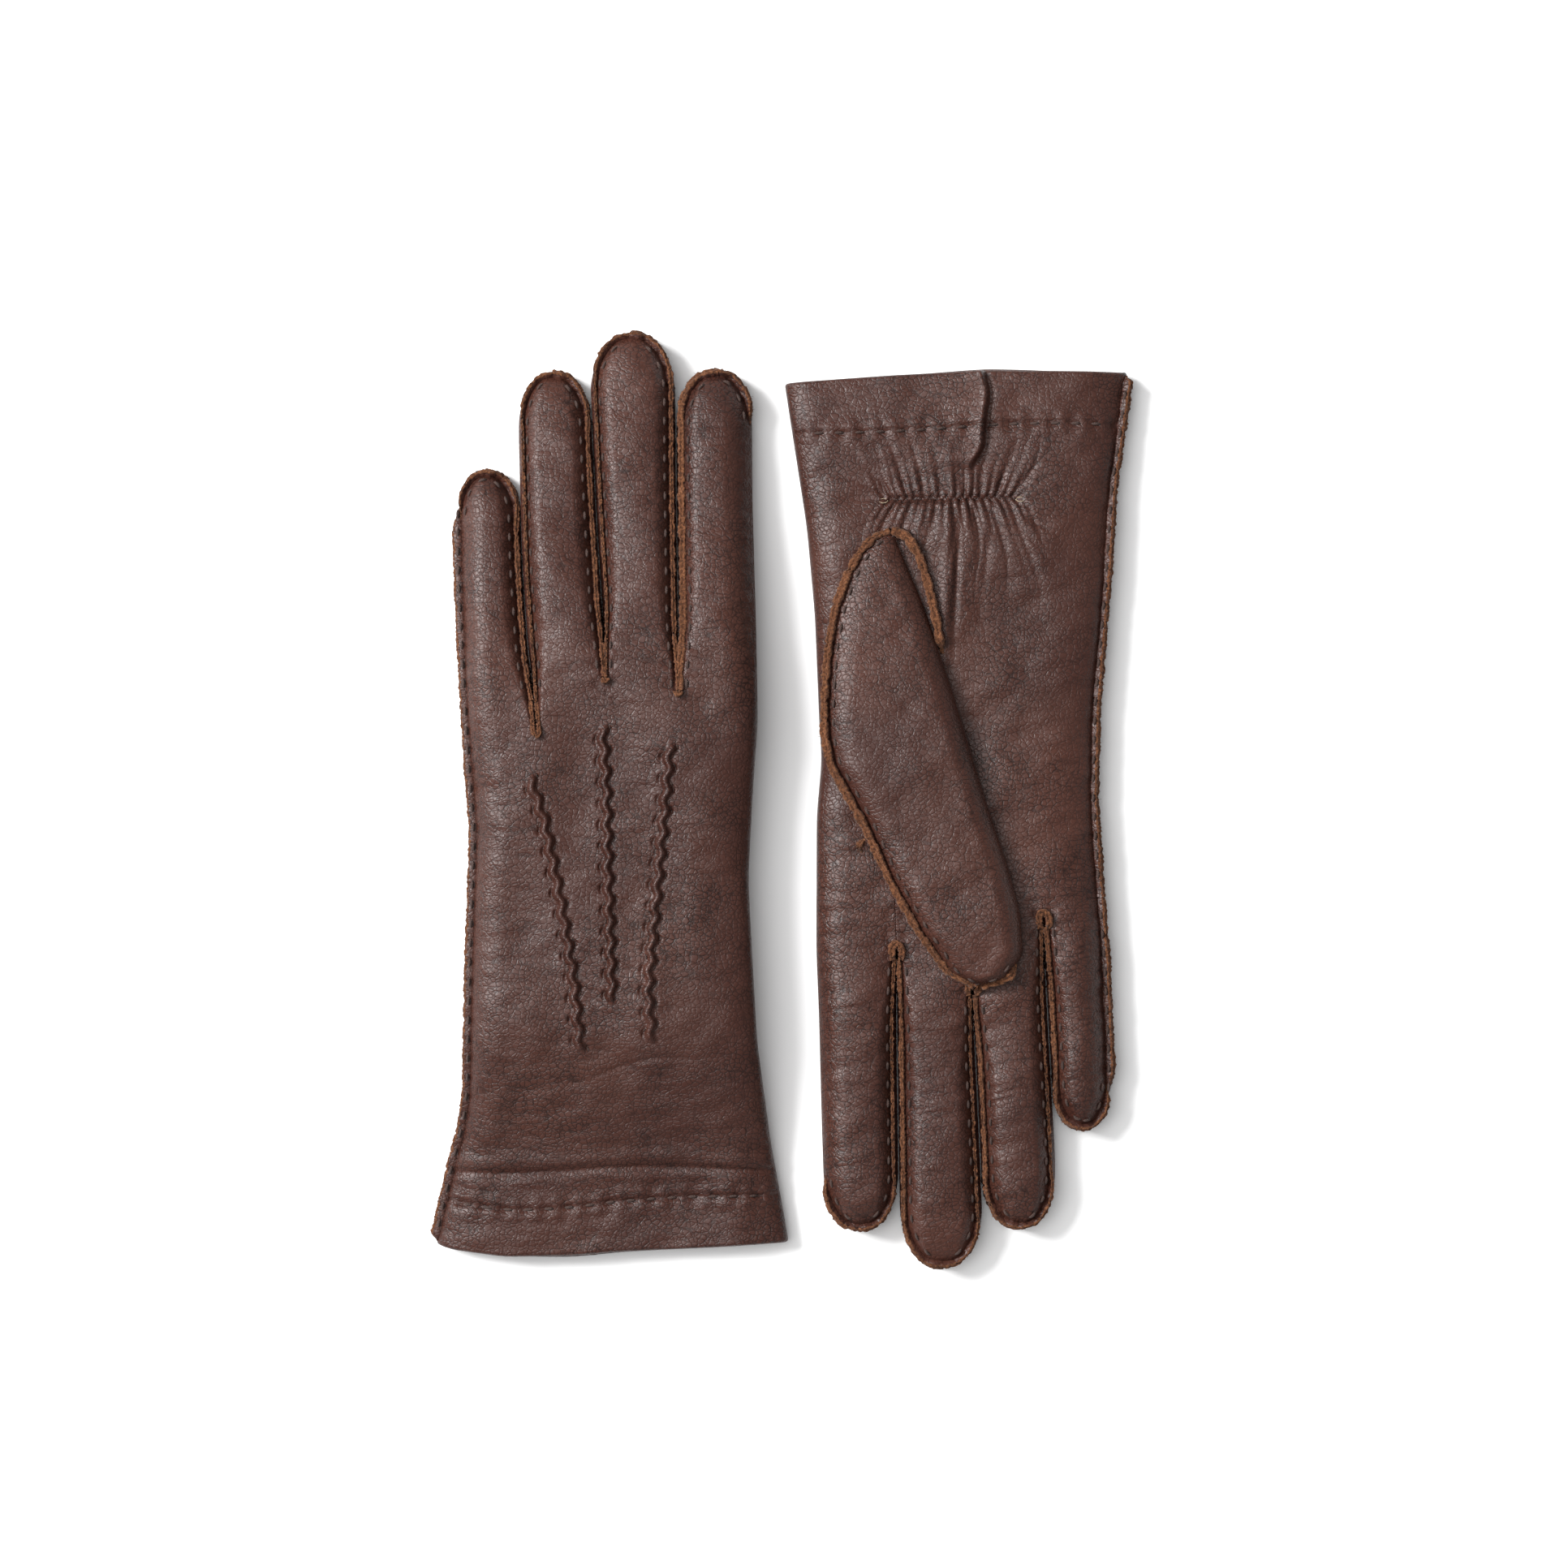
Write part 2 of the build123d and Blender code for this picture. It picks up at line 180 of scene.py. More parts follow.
# The middle of the right thumb's mouth, where a bend across it would centre
THUMB_BEND_CENTRE = (21.7, -23.7)
THUMB_ROWS, THUMB_COLUMNS = 220, 56
QUIRK_SPOT = (26.5, 8.8)
LEFT_QUIRK_ROW = 120
QUIRK_CURL = [(0.3, 1.6, 0.2), (1.6, 2.8, 0.3), (2.2, 4.4, 0.0), (1.2, 5.4, -0.3)]

# Linings and elastic
LINING_SIDES = 40
KNIT_THICKNESS = 0.5
ELASTIC_HALF_LENGTH, ELASTIC_HALF_WIDTH = 15, 2.5


# ---------------------------------------------------------------- numbers and curves
def smooth_step(x):
    """0 below 0, 1 above 1, and a smooth rise between."""
    x = np.clip(x, 0.0, 1.0)
    return x * x * (3 - 2 * x)


def bell(x):
    """A soft bump of height 1 at 0."""
    return np.exp(-np.square(x))


def soft_curve(knots, softness=4.0):
    """A smooth function that follows (v, value) knots."""
    knots_v, values = np.array(knots, float).T
    fine = np.arange(knots_v[0] - 30, knots_v[-1] + 30, 0.5)
    raw = np.interp(fine, knots_v, values)
    reach = int(softness * 6)
    kernel = bell(np.arange(-reach, reach + 1) * 0.5 / softness)
    padded = np.pad(raw, reach, mode="edge")
    smooth = np.convolve(padded, kernel / kernel.sum(), mode="valid")
    return lambda v: np.interp(v, fine, smooth)


def unit(vectors):
    """Vectors scaled to length 1."""
    return vectors / np.linalg.norm(vectors, axis=-1, keepdims=True)


def distance_run(path):
    """Distance run along a path at each of its points."""
    return np.concatenate([[0], np.cumsum(np.linalg.norm(np.diff(path, axis=0), axis=1))])


def resample(points, step):
    """Points evenly spaced along a smooth line through the given ones, with the distance run."""
    points = np.array(points, float)
    run = distance_run(points)
    count = max(int(run[-1] / step), 3)
    even = np.linspace(0, run[-1], count + 1)
    line = np.stack([np.interp(even, run, column) for column in points.T], axis=1)
    for _ in range(4):
        line[1:-1] = (line[:-2] + 2 * line[1:-1] + line[2:]) / 4
    return line, even


def round_edge(distance, radius):
    """Height share of an edge rounded off over a radius."""
    share = np.clip(distance / radius, 0.0, 1.0)
    return np.sqrt(1 - np.square(1 - share))


def rolling(seed, size, waves=16):
    """A random rolling surface whose hills are about one size across."""
    rng = np.random.default_rng(seed)
    turn = rng.uniform(0, 2 * math.pi, waves)
    pace = 2 * math.pi / (size * rng.uniform(0.7, 1.6, waves))
    phase = rng.uniform(0, 2 * math.pi, waves)

    def surface(u, v):
        total = 0.0
        for a, f, p in zip(turn, pace, phase):
            total = total + np.sin(f * (u * math.cos(a) + v * math.sin(a)) + p)
        return total / math.sqrt(waves / 2)

    return surface


def along_line(u, v, line):
    """For each (u, v): distance run along a line, and signed distance to its side."""
    points, run = resample(line, 1.0)
    best = np.full(np.shape(u), 1e9)
    where = np.zeros(np.shape(u))
    side = np.zeros(np.shape(u))
    for (au, av), (bu, bv), start in zip(points[:-1], points[1:], run[:-1]):
        du, dv = bu - au, bv - av
        length = math.hypot(du, dv)
        t = np.clip(((u - au) * du + (v - av) * dv) / length**2, 0, 1)
        pu, pv = u - au - t * du, v - av - t * dv
        gap = np.hypot(pu, pv)
        nearer = gap < best
        best = np.where(nearer, gap, best)
        where = np.where(nearer, start + t * length, where)
        side = np.where(nearer, np.sign(du * pv - dv * pu) * gap, side)
    return where, side, run[-1]


# ---------------------------------------------------------------- the shape of one glove
class Glove:
    """Plan lines and upper and lower surfaces of one glove."""

    def __init__(self, name):
        plan = PLANS[name]
        self.name = name
        self.turn = plan["turn"]
        self.cuff = plan["cuff"]
        self.cuff_line = soft_curve(plan["cuff_line"], 3.0)
        low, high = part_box(f"{name}_back")
        self.origin = (low.x + high.x) / 2 / MM + plan["centre_offset"]
        outer = plan["outer"]
        contour = soft_curve(outer["little"])
        self.edge_low = lambda v: contour(v) + SIDE_SEAM_WIDTH
        self.edge_high = soft_curve(outer["index"])
        self.inner = plan["inner"]
        self.inner_lines = [soft_curve(entry["line"]) for entry in self.inner]
        self.low = soft_curve(plan["low"], 6.0)
        self.high = soft_curve(plan["high"], 7.0)
        self.top_crotches = BACK_CROTCHES if name == "left" else PALM_CROTCHES
        self.under_crotches = PALM_CROTCHES if name == "left" else BACK_CROTCHES
        self.hinge = {}
        self.tip = {}
        for finger in FINGERS:
            joint = JOINTS[f"{name}_{finger}_bend"]
            self.hinge[finger] = self.turn * joint["pos_m"][1] / MM
            low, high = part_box(f"{name}_{finger}_leather")
            self.tip[finger] = (high.y if self.turn > 0 else -low.y) / MM - 0.6
        self.hills = rolling(3 if name == "left" else 5, 34)
        self.dents = rolling(11 if name == "left" else 13, 11)
        self.creases = rolling(21 if name == "left" else 23, 4.2)

    def world(self, points):
        """Plan points in millimetres to row-frame points in metres."""
        points = np.asarray(points, float)
        u, v = points[..., 0], points[..., 1]
        bow = (self.cuff_line(u) - self.cuff) * smooth_step((-62 - v) / 50)
        x = self.origin + self.turn * u
        y = self.turn * (v + bow)
        # what would reach below the table is pressed flat on it
        z = np.maximum(points[..., 2], 0.03)
        return np.stack([x, y, z], axis=-1) * MM

    def line(self, k, v):
        """u of boundary line k at v, from 0 at the little side to 4 at the index side."""
        v = np.asarray(v, float)
        low, high = self.edge_low(v), self.edge_high(v)
        if k == 0:
            return low
        if k == 4:
            return high
        entry = self.inner[k - 1]
        first_v, first_u = entry["line"][0]
        shared = low + entry["share"] * (high - low)
        first_low, first_high = self.edge_low(first_v), self.edge_high(first_v)
        start = first_low + entry["share"] * (first_high - first_low)
        drift = (first_u - start) * smooth_step((v - first_v + 30) / 30)
        own = self.inner_lines[k - 1](v)
        return np.where(v < first_v, shared + drift, own)

    def half_gap(self, v, crotch):
        """Half the gap between two fingers' leathers; seen from the palm it opens at once."""
        at_once = 0.45 if self.name == "right" else 0.0
        slowly = HALF_GAP - 0.02 - at_once
        beyond = v - crotch
        return 0.02 + at_once * smooth_step(beyond / 3.5) + slowly * smooth_step(beyond / 22)

    def finger_sides(self, k, v):
        """u of both sides of finger k, without its tip's rounding."""
        low = self.line(k, v)
        high = self.line(k + 1, v)
        if k > 0:
            low = low + self.half_gap(v, self.top_crotches[k - 1])
        if k < 3:
            high = high - self.half_gap(v, self.top_crotches[k])
        return low, high

    def lift(self, v, finger):
        """How far a finger's own slope lowers it towards the table."""
        if self.name == "right" or finger is None:
            return 0.0 * v
        fall = (v - self.hinge[finger]) / (self.tip[finger] - 3 - self.hinge[finger])
        fall = np.maximum(fall + 0.04, 0) - 0.04 * smooth_step((v - SPLIT_V) / 10)
        return -8.4 * np.maximum(fall, 0)

    def cover(self, u, v, crotches, edge_radii, slit_radius):
        """Share of full height at (u, v): falls to 0 at the edges and in the slits."""
        share = round_edge(u - self.edge_low(v), edge_radii[0])
        share = share * round_edge(self.edge_high(v) - u, edge_radii[1])
        for k, crotch in enumerate(crotches):
            opened = smooth_step((v - crotch + 1.5) / 5)
            radius = 1.6 + (slit_radius - 1.6) * smooth_step((v - crotch) / 32)
            distance = np.abs(u - self.line(k + 1, v)) - self.half_gap(v, self.top_crotches[k])
            share = share * (1 - opened * (1 - round_edge(np.maximum(distance, 0), radius)))
        return share

    def surfaces(self, u, v, finger=None, tip_share=1.0):
        """Heights of the upper and lower leather at (u, v)."""
        drop = self.lift(v, finger)
        low, high = self.low(v) + drop, self.high(v) + drop
        if finger:
            high = high - 0.5 * smooth_step((v - SPLIT_V) / 30)
        edge = low + EDGE_SHARE * (high - low)
        on_finger = smooth_step((v - 5) / 40)
        shaded = 17.0 - 8.5 * on_finger
        lit = 9.0 - 2.0 * on_finger
        radii = (lit, shaded) if self.name == "left" else (shaded, lit)
        upper = self.cover(u, v, self.top_crotches, radii, 4.8) * tip_share
        under = self.cover(u, v, self.under_crotches, (6.0, 6.0), 5.0) * np.power(tip_share, 0.6)
        fade = np.clip(upper * 2.2, 0, 1)
        if finger:
            k = FINGERS.index(finger)
            near_low, near_high = self.finger_sides(k, v)
            close = np.minimum(u - near_low, near_high - u)
            rhythm = np.cos(2 * math.pi * v / STITCH_PITCH)
            tucks = (-0.18 * rhythm - 0.10) * bell((close - 2.1) / 1.2) * tip_share
            across = (u - near_low) / np.maximum(near_high - near_low, 1)
            arch = np.clip(4 * across * (1 - across), 0, 1)
            crown = 1.5 * arch - 0.9 - 0.5 * self.turn * (across - 0.5)
            tucks = tucks + crown * smooth_step((v - SPLIT_V) / 26) * tip_share
        else:
            tucks = 0.0
        top = edge + (high - edge) * upper + fade * (self.upper_details(u, v, finger) + tucks)
        below = self.under_details(u, v, finger) * np.clip(under * 2.2, 0, 1)
        bottom = edge - (edge - low) * under - below
        return top, bottom

    def rolls(self, u, v):
        """Soft hills and creases of leather that has been handled."""
        flat = 0.32 * self.hills(u, v) + 0.10 * self.dents(u, v * 1.6)
        fine = self.creases(u * 0.45, v * 1.25)
        return flat + 0.05 * fine - 0.10 * np.maximum(fine - 0.9, 0)

    def hem_line(self, u):
        """v of the hem's stitch line at u."""
        return self.cuff + HEM_V[self.name] + 0.6 * np.sin(u / 14) - 0.012 * np.abs(u)

    def hem(self, u, v):
        """The doubled hem below its stitch line, which pulls a groove with small puckers."""
        above = v - self.hem_line(u)
        pucker = np.cos(2 * math.pi * u / HEM_PITCH)
        steady = 1.3 if self.name == "left" else 0.6
        groove = -0.28 * bell(above / 0.75) * (steady + pucker)
        puffs = 0.16 * bell((np.abs(above) - 1.9) / 1.4) * (1 - pucker)
        return groove + puffs + 0.25 * smooth_step(-above / 1.5)

    def upper_details(self, u, v, finger):
        """Everything that shapes the leather seen from above."""
        total = self.rolls(u, v) + self.hem(u, v)
        if self.name == "left":
            return total + self.back_details(u, v, finger)
        return total + self.palm_details(u, v, finger)

    def under_details(self, u, v, finger):
        """What shapes the leather on the table's side; it counts downwards."""
        total = 0.6 * self.rolls(u + 200, v) + self.hem(u, v)
        if self.name == "left":
            return total + self.palm_details(u, v, finger)
        return total + self.back_details(u, v, finger)

    def back_details(self, u, v, finger):
        """The three points, the cuff's crease and a fold across the wrist."""
        total = 0.0
        for line in POINTS:
            run, side, length = along_line(u, v, line)
            ends = smooth_step(run / 2) * smooth_step((length - run) / 2) * (np.abs(side) < 6)
            wave = 2 * math.pi * run / POINT_WAVE
            off = side - 0.55 * np.sin(wave)
            ridge = 1.3 * bell(np.power(np.abs(off) / 0.95, 1.4))
            for hand in (-1, 1):
                notch = np.maximum(hand * np.sin(wave + 0.3), 0)
                ridge = ridge - (0.12 + 0.70 * notch) * bell((off - hand * 1.5) / 0.42)
            total = total + ends * ridge + 0.3 * (np.abs(side) < 9) * bell(side / 4.5)
        crease_v = -97.5 + 1.6 * np.sin((u + 30) / 22) - 0.02 * u
        total = total - 0.55 * bell((v - crease_v) / 0.9) + 0.45 * bell((v - crease_v - 2.6) / 2.0)
        total = total + 0.25 * bell((v - crease_v + 2.4) / 1.6)
        fold = v - (-70 + 0.18 * (u - 8)) - 1.2 * np.sin(u / 6)
        total = total - 0.3 * bell(fold / 0.7) * bell((u - 10) / 16)
        return total + self.knuckle_creases(u, v, finger)

    def knuckle_creases(self, u, v, finger):
        """Fine cross creases where fingers have bent."""
        total = 0.0
        if finger:
            reach = self.tip[finger] - self.hinge[finger]
            for share, depth in ((0.18, 0.10), (0.42, 0.14), (0.74, 0.08)):
                centre = self.hinge[finger] + share * reach
                comb = np.sin(2 * math.pi * (v + 0.9 * np.sin(u / 3.1)) / 1.9)
                patchy = 0.45 + 0.45 * self.dents(u + 50, v)
                total = total + 0.7 * depth * patchy * bell((v - centre) / 5) * comb
        return total

    def palm_details(self, u, v, finger):
        """The gathers, the wrinkles round them, the vent pleat and the folds of the palm."""
        from_line = v - GATHER_V
        middle = (GATHER_FROM + GATHER_TO) / 2
        spread = 1 + 0.12 * (1 - np.exp(-np.abs(from_line) / 2.5)) + 0.018 * np.abs(from_line)
        across = (u - middle) / spread
        half = (GATHER_TO - GATHER_FROM) / 2
        inside = smooth_step((half + 2.5 - np.abs(across)) / 3.5)
        phase = np.where(from_line > 0, 0.0, 0.5)
        wander = 0.5 * np.sin(from_line / 5.0 + u / 7.0)
        near_turns = (across + wander * np.abs(from_line) / 9) / PLEAT_PITCH + phase
        wide_turns = (across + wander * 1.6) / (2.3 * PLEAT_PITCH) + phase
        near = np.abs(np.sin(math.pi * near_turns))
        wide = np.abs(np.sin(math.pi * wide_turns))
        pleats = 1.5 * (np.power(near, 0.6) - 0.6) * np.exp(-np.abs(from_line) / 4.6)
        uneven = 0.75 + 0.35 * np.sin(1.1 * across + 0.8)
        lasting = np.where(from_line > 0, 13, 9)
        fading = smooth_step(np.abs(from_line) / 3.5) * np.exp(-np.abs(from_line) / lasting)
        pleats = pleats + 1.75 * uneven * (np.power(wide, 0.55) - 0.7) * fading
        pull = -0.7 * bell(from_line / 0.8) - 0.9 * bell(from_line / 5.0)
        total = inside * (pleats + pull)
        for end, turn in ((GATHER_FROM, -1), (GATHER_TO, 1)):
            ray = np.arctan2(from_line, turn * (u - end) + 3.5)
            reach = np.hypot(u - end, from_line)
            fan = np.power(np.abs(np.sin(ray * 9 + 0.06 * reach)), 0.5) - 0.75
            outside = smooth_step((turn * (u - end) + 1) / 4)
            total = total + 0.6 * fan * outside * np.exp(-reach / 14) * smooth_step(reach / 3)
        beyond = u - soft_curve(PLEAT_EDGE, 2.0)(v)
        on_cuff = smooth_step((-86 - v) / 6)
        step = np.sqrt(np.clip(beyond / 1.1, 0, 1)) * np.exp(-np.maximum(beyond, 0) / 14)
        rim = 0.35 * bell((beyond - 1.0) / 0.9) - 0.6 * bell((beyond + 0.5) / 0.8) * (beyond < 0)
        total = total + on_cuff * (2.2 * step + rim)
        ridge_u = 5.0 + 0.05 * (v + 66)
        total = total + 0.9 * bell((u - ridge_u) / 1.6) * bell((v + 58) / 16)
        total = total - 0.8 * bell((u - ridge_u + 2.3) / 0.9) * bell((v + 60) / 15)
        total = total - 0.4 * bell((u + 4.5 - 0.12 * (v + 60)) / 1.1) * bell((v + 64) / 10)
        for crotch, k in zip(PALM_CROTCHES, (1, 2, 3)):
            ray = np.arctan2(u - self.line(k, v), crotch - v + 2)
            reach = np.hypot(u - self.line(k, v), crotch - v)
            total = total - 0.28 * np.power(np.abs(np.sin(ray * 3.5)), 2) * bell(reach / 9)
        return total + self.knuckle_creases(u, v, finger)


# ---------------------------------------------------------------- meshes
def add_piece(name, glove, shape, materials, slot, part, *nodes, thickness=None):
    """A smooth mesh object from plan vertices in millimetres, passed to tie with one part of its
    glove.

    The shape is (vertices, faces) or (vertices, faces, material indices), the part is "hand",
    "thumb" or a finger, and the nodes are those that the piece replaces.
    """
    vertices, faces = shape[:2]
    indices = shape[2] if len(shape) > 2 and len(materials) > 1 else None
    mesh = bpy.data.meshes.new(name)
    places = glove.world(vertices)
    mesh.from_pydata(places.tolist(), [], faces)
    for material in materials:
        mesh.materials.append(material)
    if indices is not None:
        mesh.polygons.foreach_set("material_index", np.asarray(indices, np.int32))
    mesh.polygons.foreach_set("use_smooth", np.ones(len(mesh.polygons), bool))
    mesh.update()
    piece = bpy.data.objects.new(name, mesh)
    bpy.context.scene.collection.objects.link(piece)
    if thickness:
        solid = piece.modifiers.new("thickness", "SOLIDIFY")
        solid.thickness = thickness * MM
        solid.offset = -1
    if nodes:
        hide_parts(*nodes)
    tie(piece, glove, part)
    return piece


def tie(piece, glove, part):
    """Fix a piece to the hand or the left thumb; finger and right-thumb pieces only have their
    placement baked.
    """
    if part == "hand":
        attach(piece, f"{glove.name}_hand")
    elif part != "thumb":
        bend_finger(piece, glove, part)
    elif glove.name == "left":
        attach(piece, "left_thumb")
    else:
        bend_thumb(piece, glove)


def grid_faces(rows, columns, start=0, flip=False, closed=False):
    """Quads over a grid of vertices numbered row by row."""
    first = np.arange(rows - 1)[:, None] * columns
    last_column = columns if closed else columns - 1
    column = np.arange(last_column)[None, :]
    following = (column + 1) % columns
    a = start + first + column
    b = start + first + following
    quads = np.stack([a, b, b + columns, a + columns], axis=-1).reshape(-1, 4)
    if flip:
        quads = quads[:, ::-1]
    return quads.tolist()


def across_shares(count):
    """Column places from 0 to 1, closer together at both ends."""
    even = np.linspace(-1, 1, count)
    return (0.6 * even + 0.4 * np.sin(even * math.pi / 2) + 1) / 2


def border_normals(piece, glove, chosen, u, v, upper):
    """Give border vertices the surface's own slope, so that neighbours shade as one."""
    step = 0.2
    pick = 0 if upper else 1
    here = glove.surfaces(u, v)[pick]
    slope_u = (glove.surfaces(u + step, v)[pick] - here) / step
    slope_v = (glove.surfaces(u, v + step)[pick] - here) / step
    normal = np.stack([-glove.turn * slope_u, -glove.turn * slope_v, np.ones_like(u)], axis=-1)
    normal = unit(normal)
    if not upper:
        normal = -normal
    normals = np.zeros((len(piece.data.vertices), 3))
    normals[chosen] = normal
    piece.data.normals_split_custom_set_from_vertices(normals.tolist())


def make_hand_sheet(glove, upper, material):
    """The back or the palm from the turned-in hem to the finger roots."""
    shares = across_shares(COLUMNS)
    rows_v = np.append(np.arange(glove.cuff + LIP, SPLIT_V, ROW_STEP), SPLIT_V)
    turn_in = np.linspace(TURN_IN, LIP, 16)
    rim = np.linspace(-math.pi / 2, math.pi / 2, 9)[1:-1]
    place_v = np.concatenate([glove.cuff + turn_in, glove.cuff + LIP * (1 - np.cos(rim)), rows_v])
    depth = np.concatenate([np.full(16, 1.9), 0.95 * (1 - np.sin(rim)), np.zeros(len(rows_v))])
    columns = []
    for k in range(4):
        low, high = glove.line(k, place_v), glove.line(k + 1, place_v)
        keep = shares if k == 3 else shares[:-1]
        columns.append(low[:, None] + (high - low)[:, None] * keep[None, :])
    u = np.concatenate(columns, axis=1)
    v = np.repeat(place_v[:, None], u.shape[1], axis=1)
    top, bottom = glove.surfaces(u, v)
    z = top if upper else bottom
    low, high = glove.low(v), glove.high(v)
    edge = low + EDGE_SHARE * (high - low)
    inwards = depth[:, None]
    shrink = 1 - inwards / (high - low) * 1.9
    z = edge + (z - edge) * shrink
    middle = (glove.edge_low(v) + glove.edge_high(v)) / 2
    u = middle + (u - middle) * (1 - inwards / (glove.edge_high(v) - glove.edge_low(v)) * 2)
    if not upper:
        v = v - 0.9 * bell((u + 6) / 26) * smooth_step((glove.cuff + 20 - v) / 15)
    vertices = np.stack([u, v, z], axis=-1).reshape(-1, 3)
    faces = grid_faces(u.shape[0], u.shape[1], flip=not upper)
    is_back = upper == (glove.name == "left")
    name = f"{glove.name}_{'back' if is_back else 'palm'}"
    piece = add_piece(f"{name}_skin", glove, (vertices, faces), [material], "leather", "hand", name)
    last = np.arange(u.size - u.shape[1], u.size)
    border_normals(piece, glove, last, u[-1], v[-1], upper)


def finger_rows(glove, k):
    """Rows of one finger: v, both sides' u, and the share of full height near the tip."""
    finger = FINGERS[k]
    tip = glove.tip[finger]
    low, high = glove.finger_sides(k, np.array([tip - 9.0]))
    reach = float(high[0] - low[0]) / 2 * TIP_LENGTH
    shoulder = tip - reach
    straight = np.append(np.arange(SPLIT_V, shoulder, ROW_STEP), shoulder)
    angles = np.linspace(0, math.pi / 2, TIP_ROWS + 1)[1:]
    v = np.concatenate([straight, shoulder + reach * np.sin(angles)])
    round_share = np.concatenate([np.ones(len(straight)), np.cos(angles)])
    low, high = glove.finger_sides(k, np.minimum(v, shoulder + reach * 0.6))
    middle, half = (low + high) / 2, (high - low) / 2
    narrow = np.power(np.maximum(round_share, 0), 0.97)
    return v, middle - half * narrow, middle + half * narrow, round_share


def make_finger_skin(glove, k, material):
    """One finger's leather and fourchettes as one closed skin."""
    finger = FINGERS[k]
    v, low, high, round_share = finger_rows(glove, k)
    shares = across_shares(COLUMNS)
    u = low[:, None] + (high - low)[:, None] * shares[None, :]
    grid_v = np.repeat(v[:, None], COLUMNS, axis=1)
    # half way down, the fourchettes of neighbouring fingers bulge until they almost touch
    if k > 0:
        bulge = 0.85 * glove.half_gap(v, glove.top_crotches[k - 1]) * round_share
        u = u - bulge[:, None] * smooth_step(1 - shares / 0.05)[None, :]
    if k < 3:
        bulge = 0.85 * glove.half_gap(v, glove.top_crotches[k]) * round_share
        u = u + bulge[:, None] * smooth_step(1 - (1 - shares) / 0.05)[None, :]
    # Near the tip the surfaces are read on the straight part, so their details carry on
    full_low, full_high = glove.finger_sides(k, np.minimum(v, v[-TIP_ROWS - 1]))
    read_u = full_low[:, None] + (full_high - full_low)[:, None] * shares[None, :]
    tip_share = np.repeat(np.power(np.maximum(round_share, 0), 0.8)[:, None], COLUMNS, axis=1)
    top, bottom = glove.surfaces(read_u, grid_v, finger, tip_share)
    upper = np.stack([u, grid_v, top], axis=-1)
    under = np.stack([u, grid_v, bottom], axis=-1)[:, ::-1]
    rings = np.concatenate([upper, under], axis=1)
    shape = (rings.reshape(-1, 3), grid_faces(len(v), 2 * COLUMNS, closed=True))
    nodes = [f"{glove.name}_{finger}_leather"]
    for side in ("little_side", "index_side"):
        node = f"{glove.name}_{finger}_fourchette_{side}"
        if node in frame["nodes"]:
            nodes.append(node)
    name = f"{glove.name}_{finger}_skin"
    piece = add_piece(name, glove, shape, [material], "leather", finger, *nodes)
    border_normals(piece, glove, np.arange(COLUMNS), u[0], grid_v[0], True)


def bend_finger(piece, glove, finger):
    """Work out where a finger piece's bend would run, from the hand's last row on, and bake its
    placement into the mesh; no bend is set up.
    """
    end = SPLIT_V + max(BEND_LENGTH, 1.8 * (glove.hinge[finger] - SPLIT_V))
    start_point = glove.world([0, SPLIT_V, 0])
    end_point = glove.world([0, end, 0])
    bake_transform(piece)


# ---------------------------------------------------------------- seams and stitches
FLANGE_SECTION = [(-0.5, -0.55), (-0.52, 0.35), (-0.48, 0.8), (-0.36, 1.02), (-0.2, 1.05),
                  (-0.05, 0.93), (0.05, 0.93), (0.2, 1.05), (0.36, 1.02), (0.48, 0.8),
                  (0.52, 0.35), (0.5, -0.55)]
SUEDE_FROM, SUEDE_TO = 2, 9


def flange(path, stand, seed, thick=FLANGE_THICK, tall=FLANGE_TALL, fibres=3.5, tapers=(3.0, 3.0)):
    """A two-layer raw seam edge swept along a path, with its loose fibres.

    It narrows to nothing over the two taper lengths, at its start and its end; 0 leaves an end full.
    """
    rng = np.random.default_rng(seed)
    path = np.asarray(path, float)
    stand = unit(stand)
    tangent = unit(np.gradient(path, axis=0))
    side = unit(np.cross(tangent, stand))
    run = distance_run(path)
    pinch = np.power(np.maximum(np.cos(2 * math.pi * run / STITCH_PITCH), 0), 3)
    ends = np.ones(len(run))
    if tapers[0]:
        ends = ends * smooth_step(run / tapers[0])
    if tapers[1]:
        ends = ends * smooth_step((run[-1] - run) / tapers[1])
    knots = np.arange(0, run[-1] + 3, 2.2)
    wobble = np.interp(run, knots, rng.normal(0, 1, len(knots)))
    width = thick * (1 - 0.24 * pinch + 0.10 * wobble) * (0.35 + 0.65 * ends)
    height = tall * (1 - 0.08 * pinch + 0.05 * wobble) * (0.15 + 0.85 * ends)
    rows, columns = len(path), len(FLANGE_SECTION)
    vertices = np.zeros((rows, columns, 3))
    for column, (x, y) in enumerate(FLANGE_SECTION):
        rough = 0.13 if SUEDE_FROM <= column <= SUEDE_TO else 0.02
        jag_x = rng.normal(0, rough, rows)
        jag_y = rng.normal(0, rough, rows)
        vertices[:, column] = (
            path
            + side * (x * width + jag_x)[:, None]
            + stand * (y * height + jag_y)[:, None]
        )
    faces = grid_faces(rows, columns, closed=True)
    column_of = np.tile(np.arange(columns), rows - 1)
    indices = ((column_of >= SUEDE_FROM) & (column_of < SUEDE_TO)).astype(int)
    points = vertices.reshape(-1, 3)
    count = int(run[-1] * fibres)
    hairs, hair_faces = fibre_hairs(rng, count, path, side, stand, width, height, len(points))
    points = np.concatenate([points, hairs])
    return points, faces + hair_faces, np.concatenate([indices, np.ones(len(hair_faces), int)])


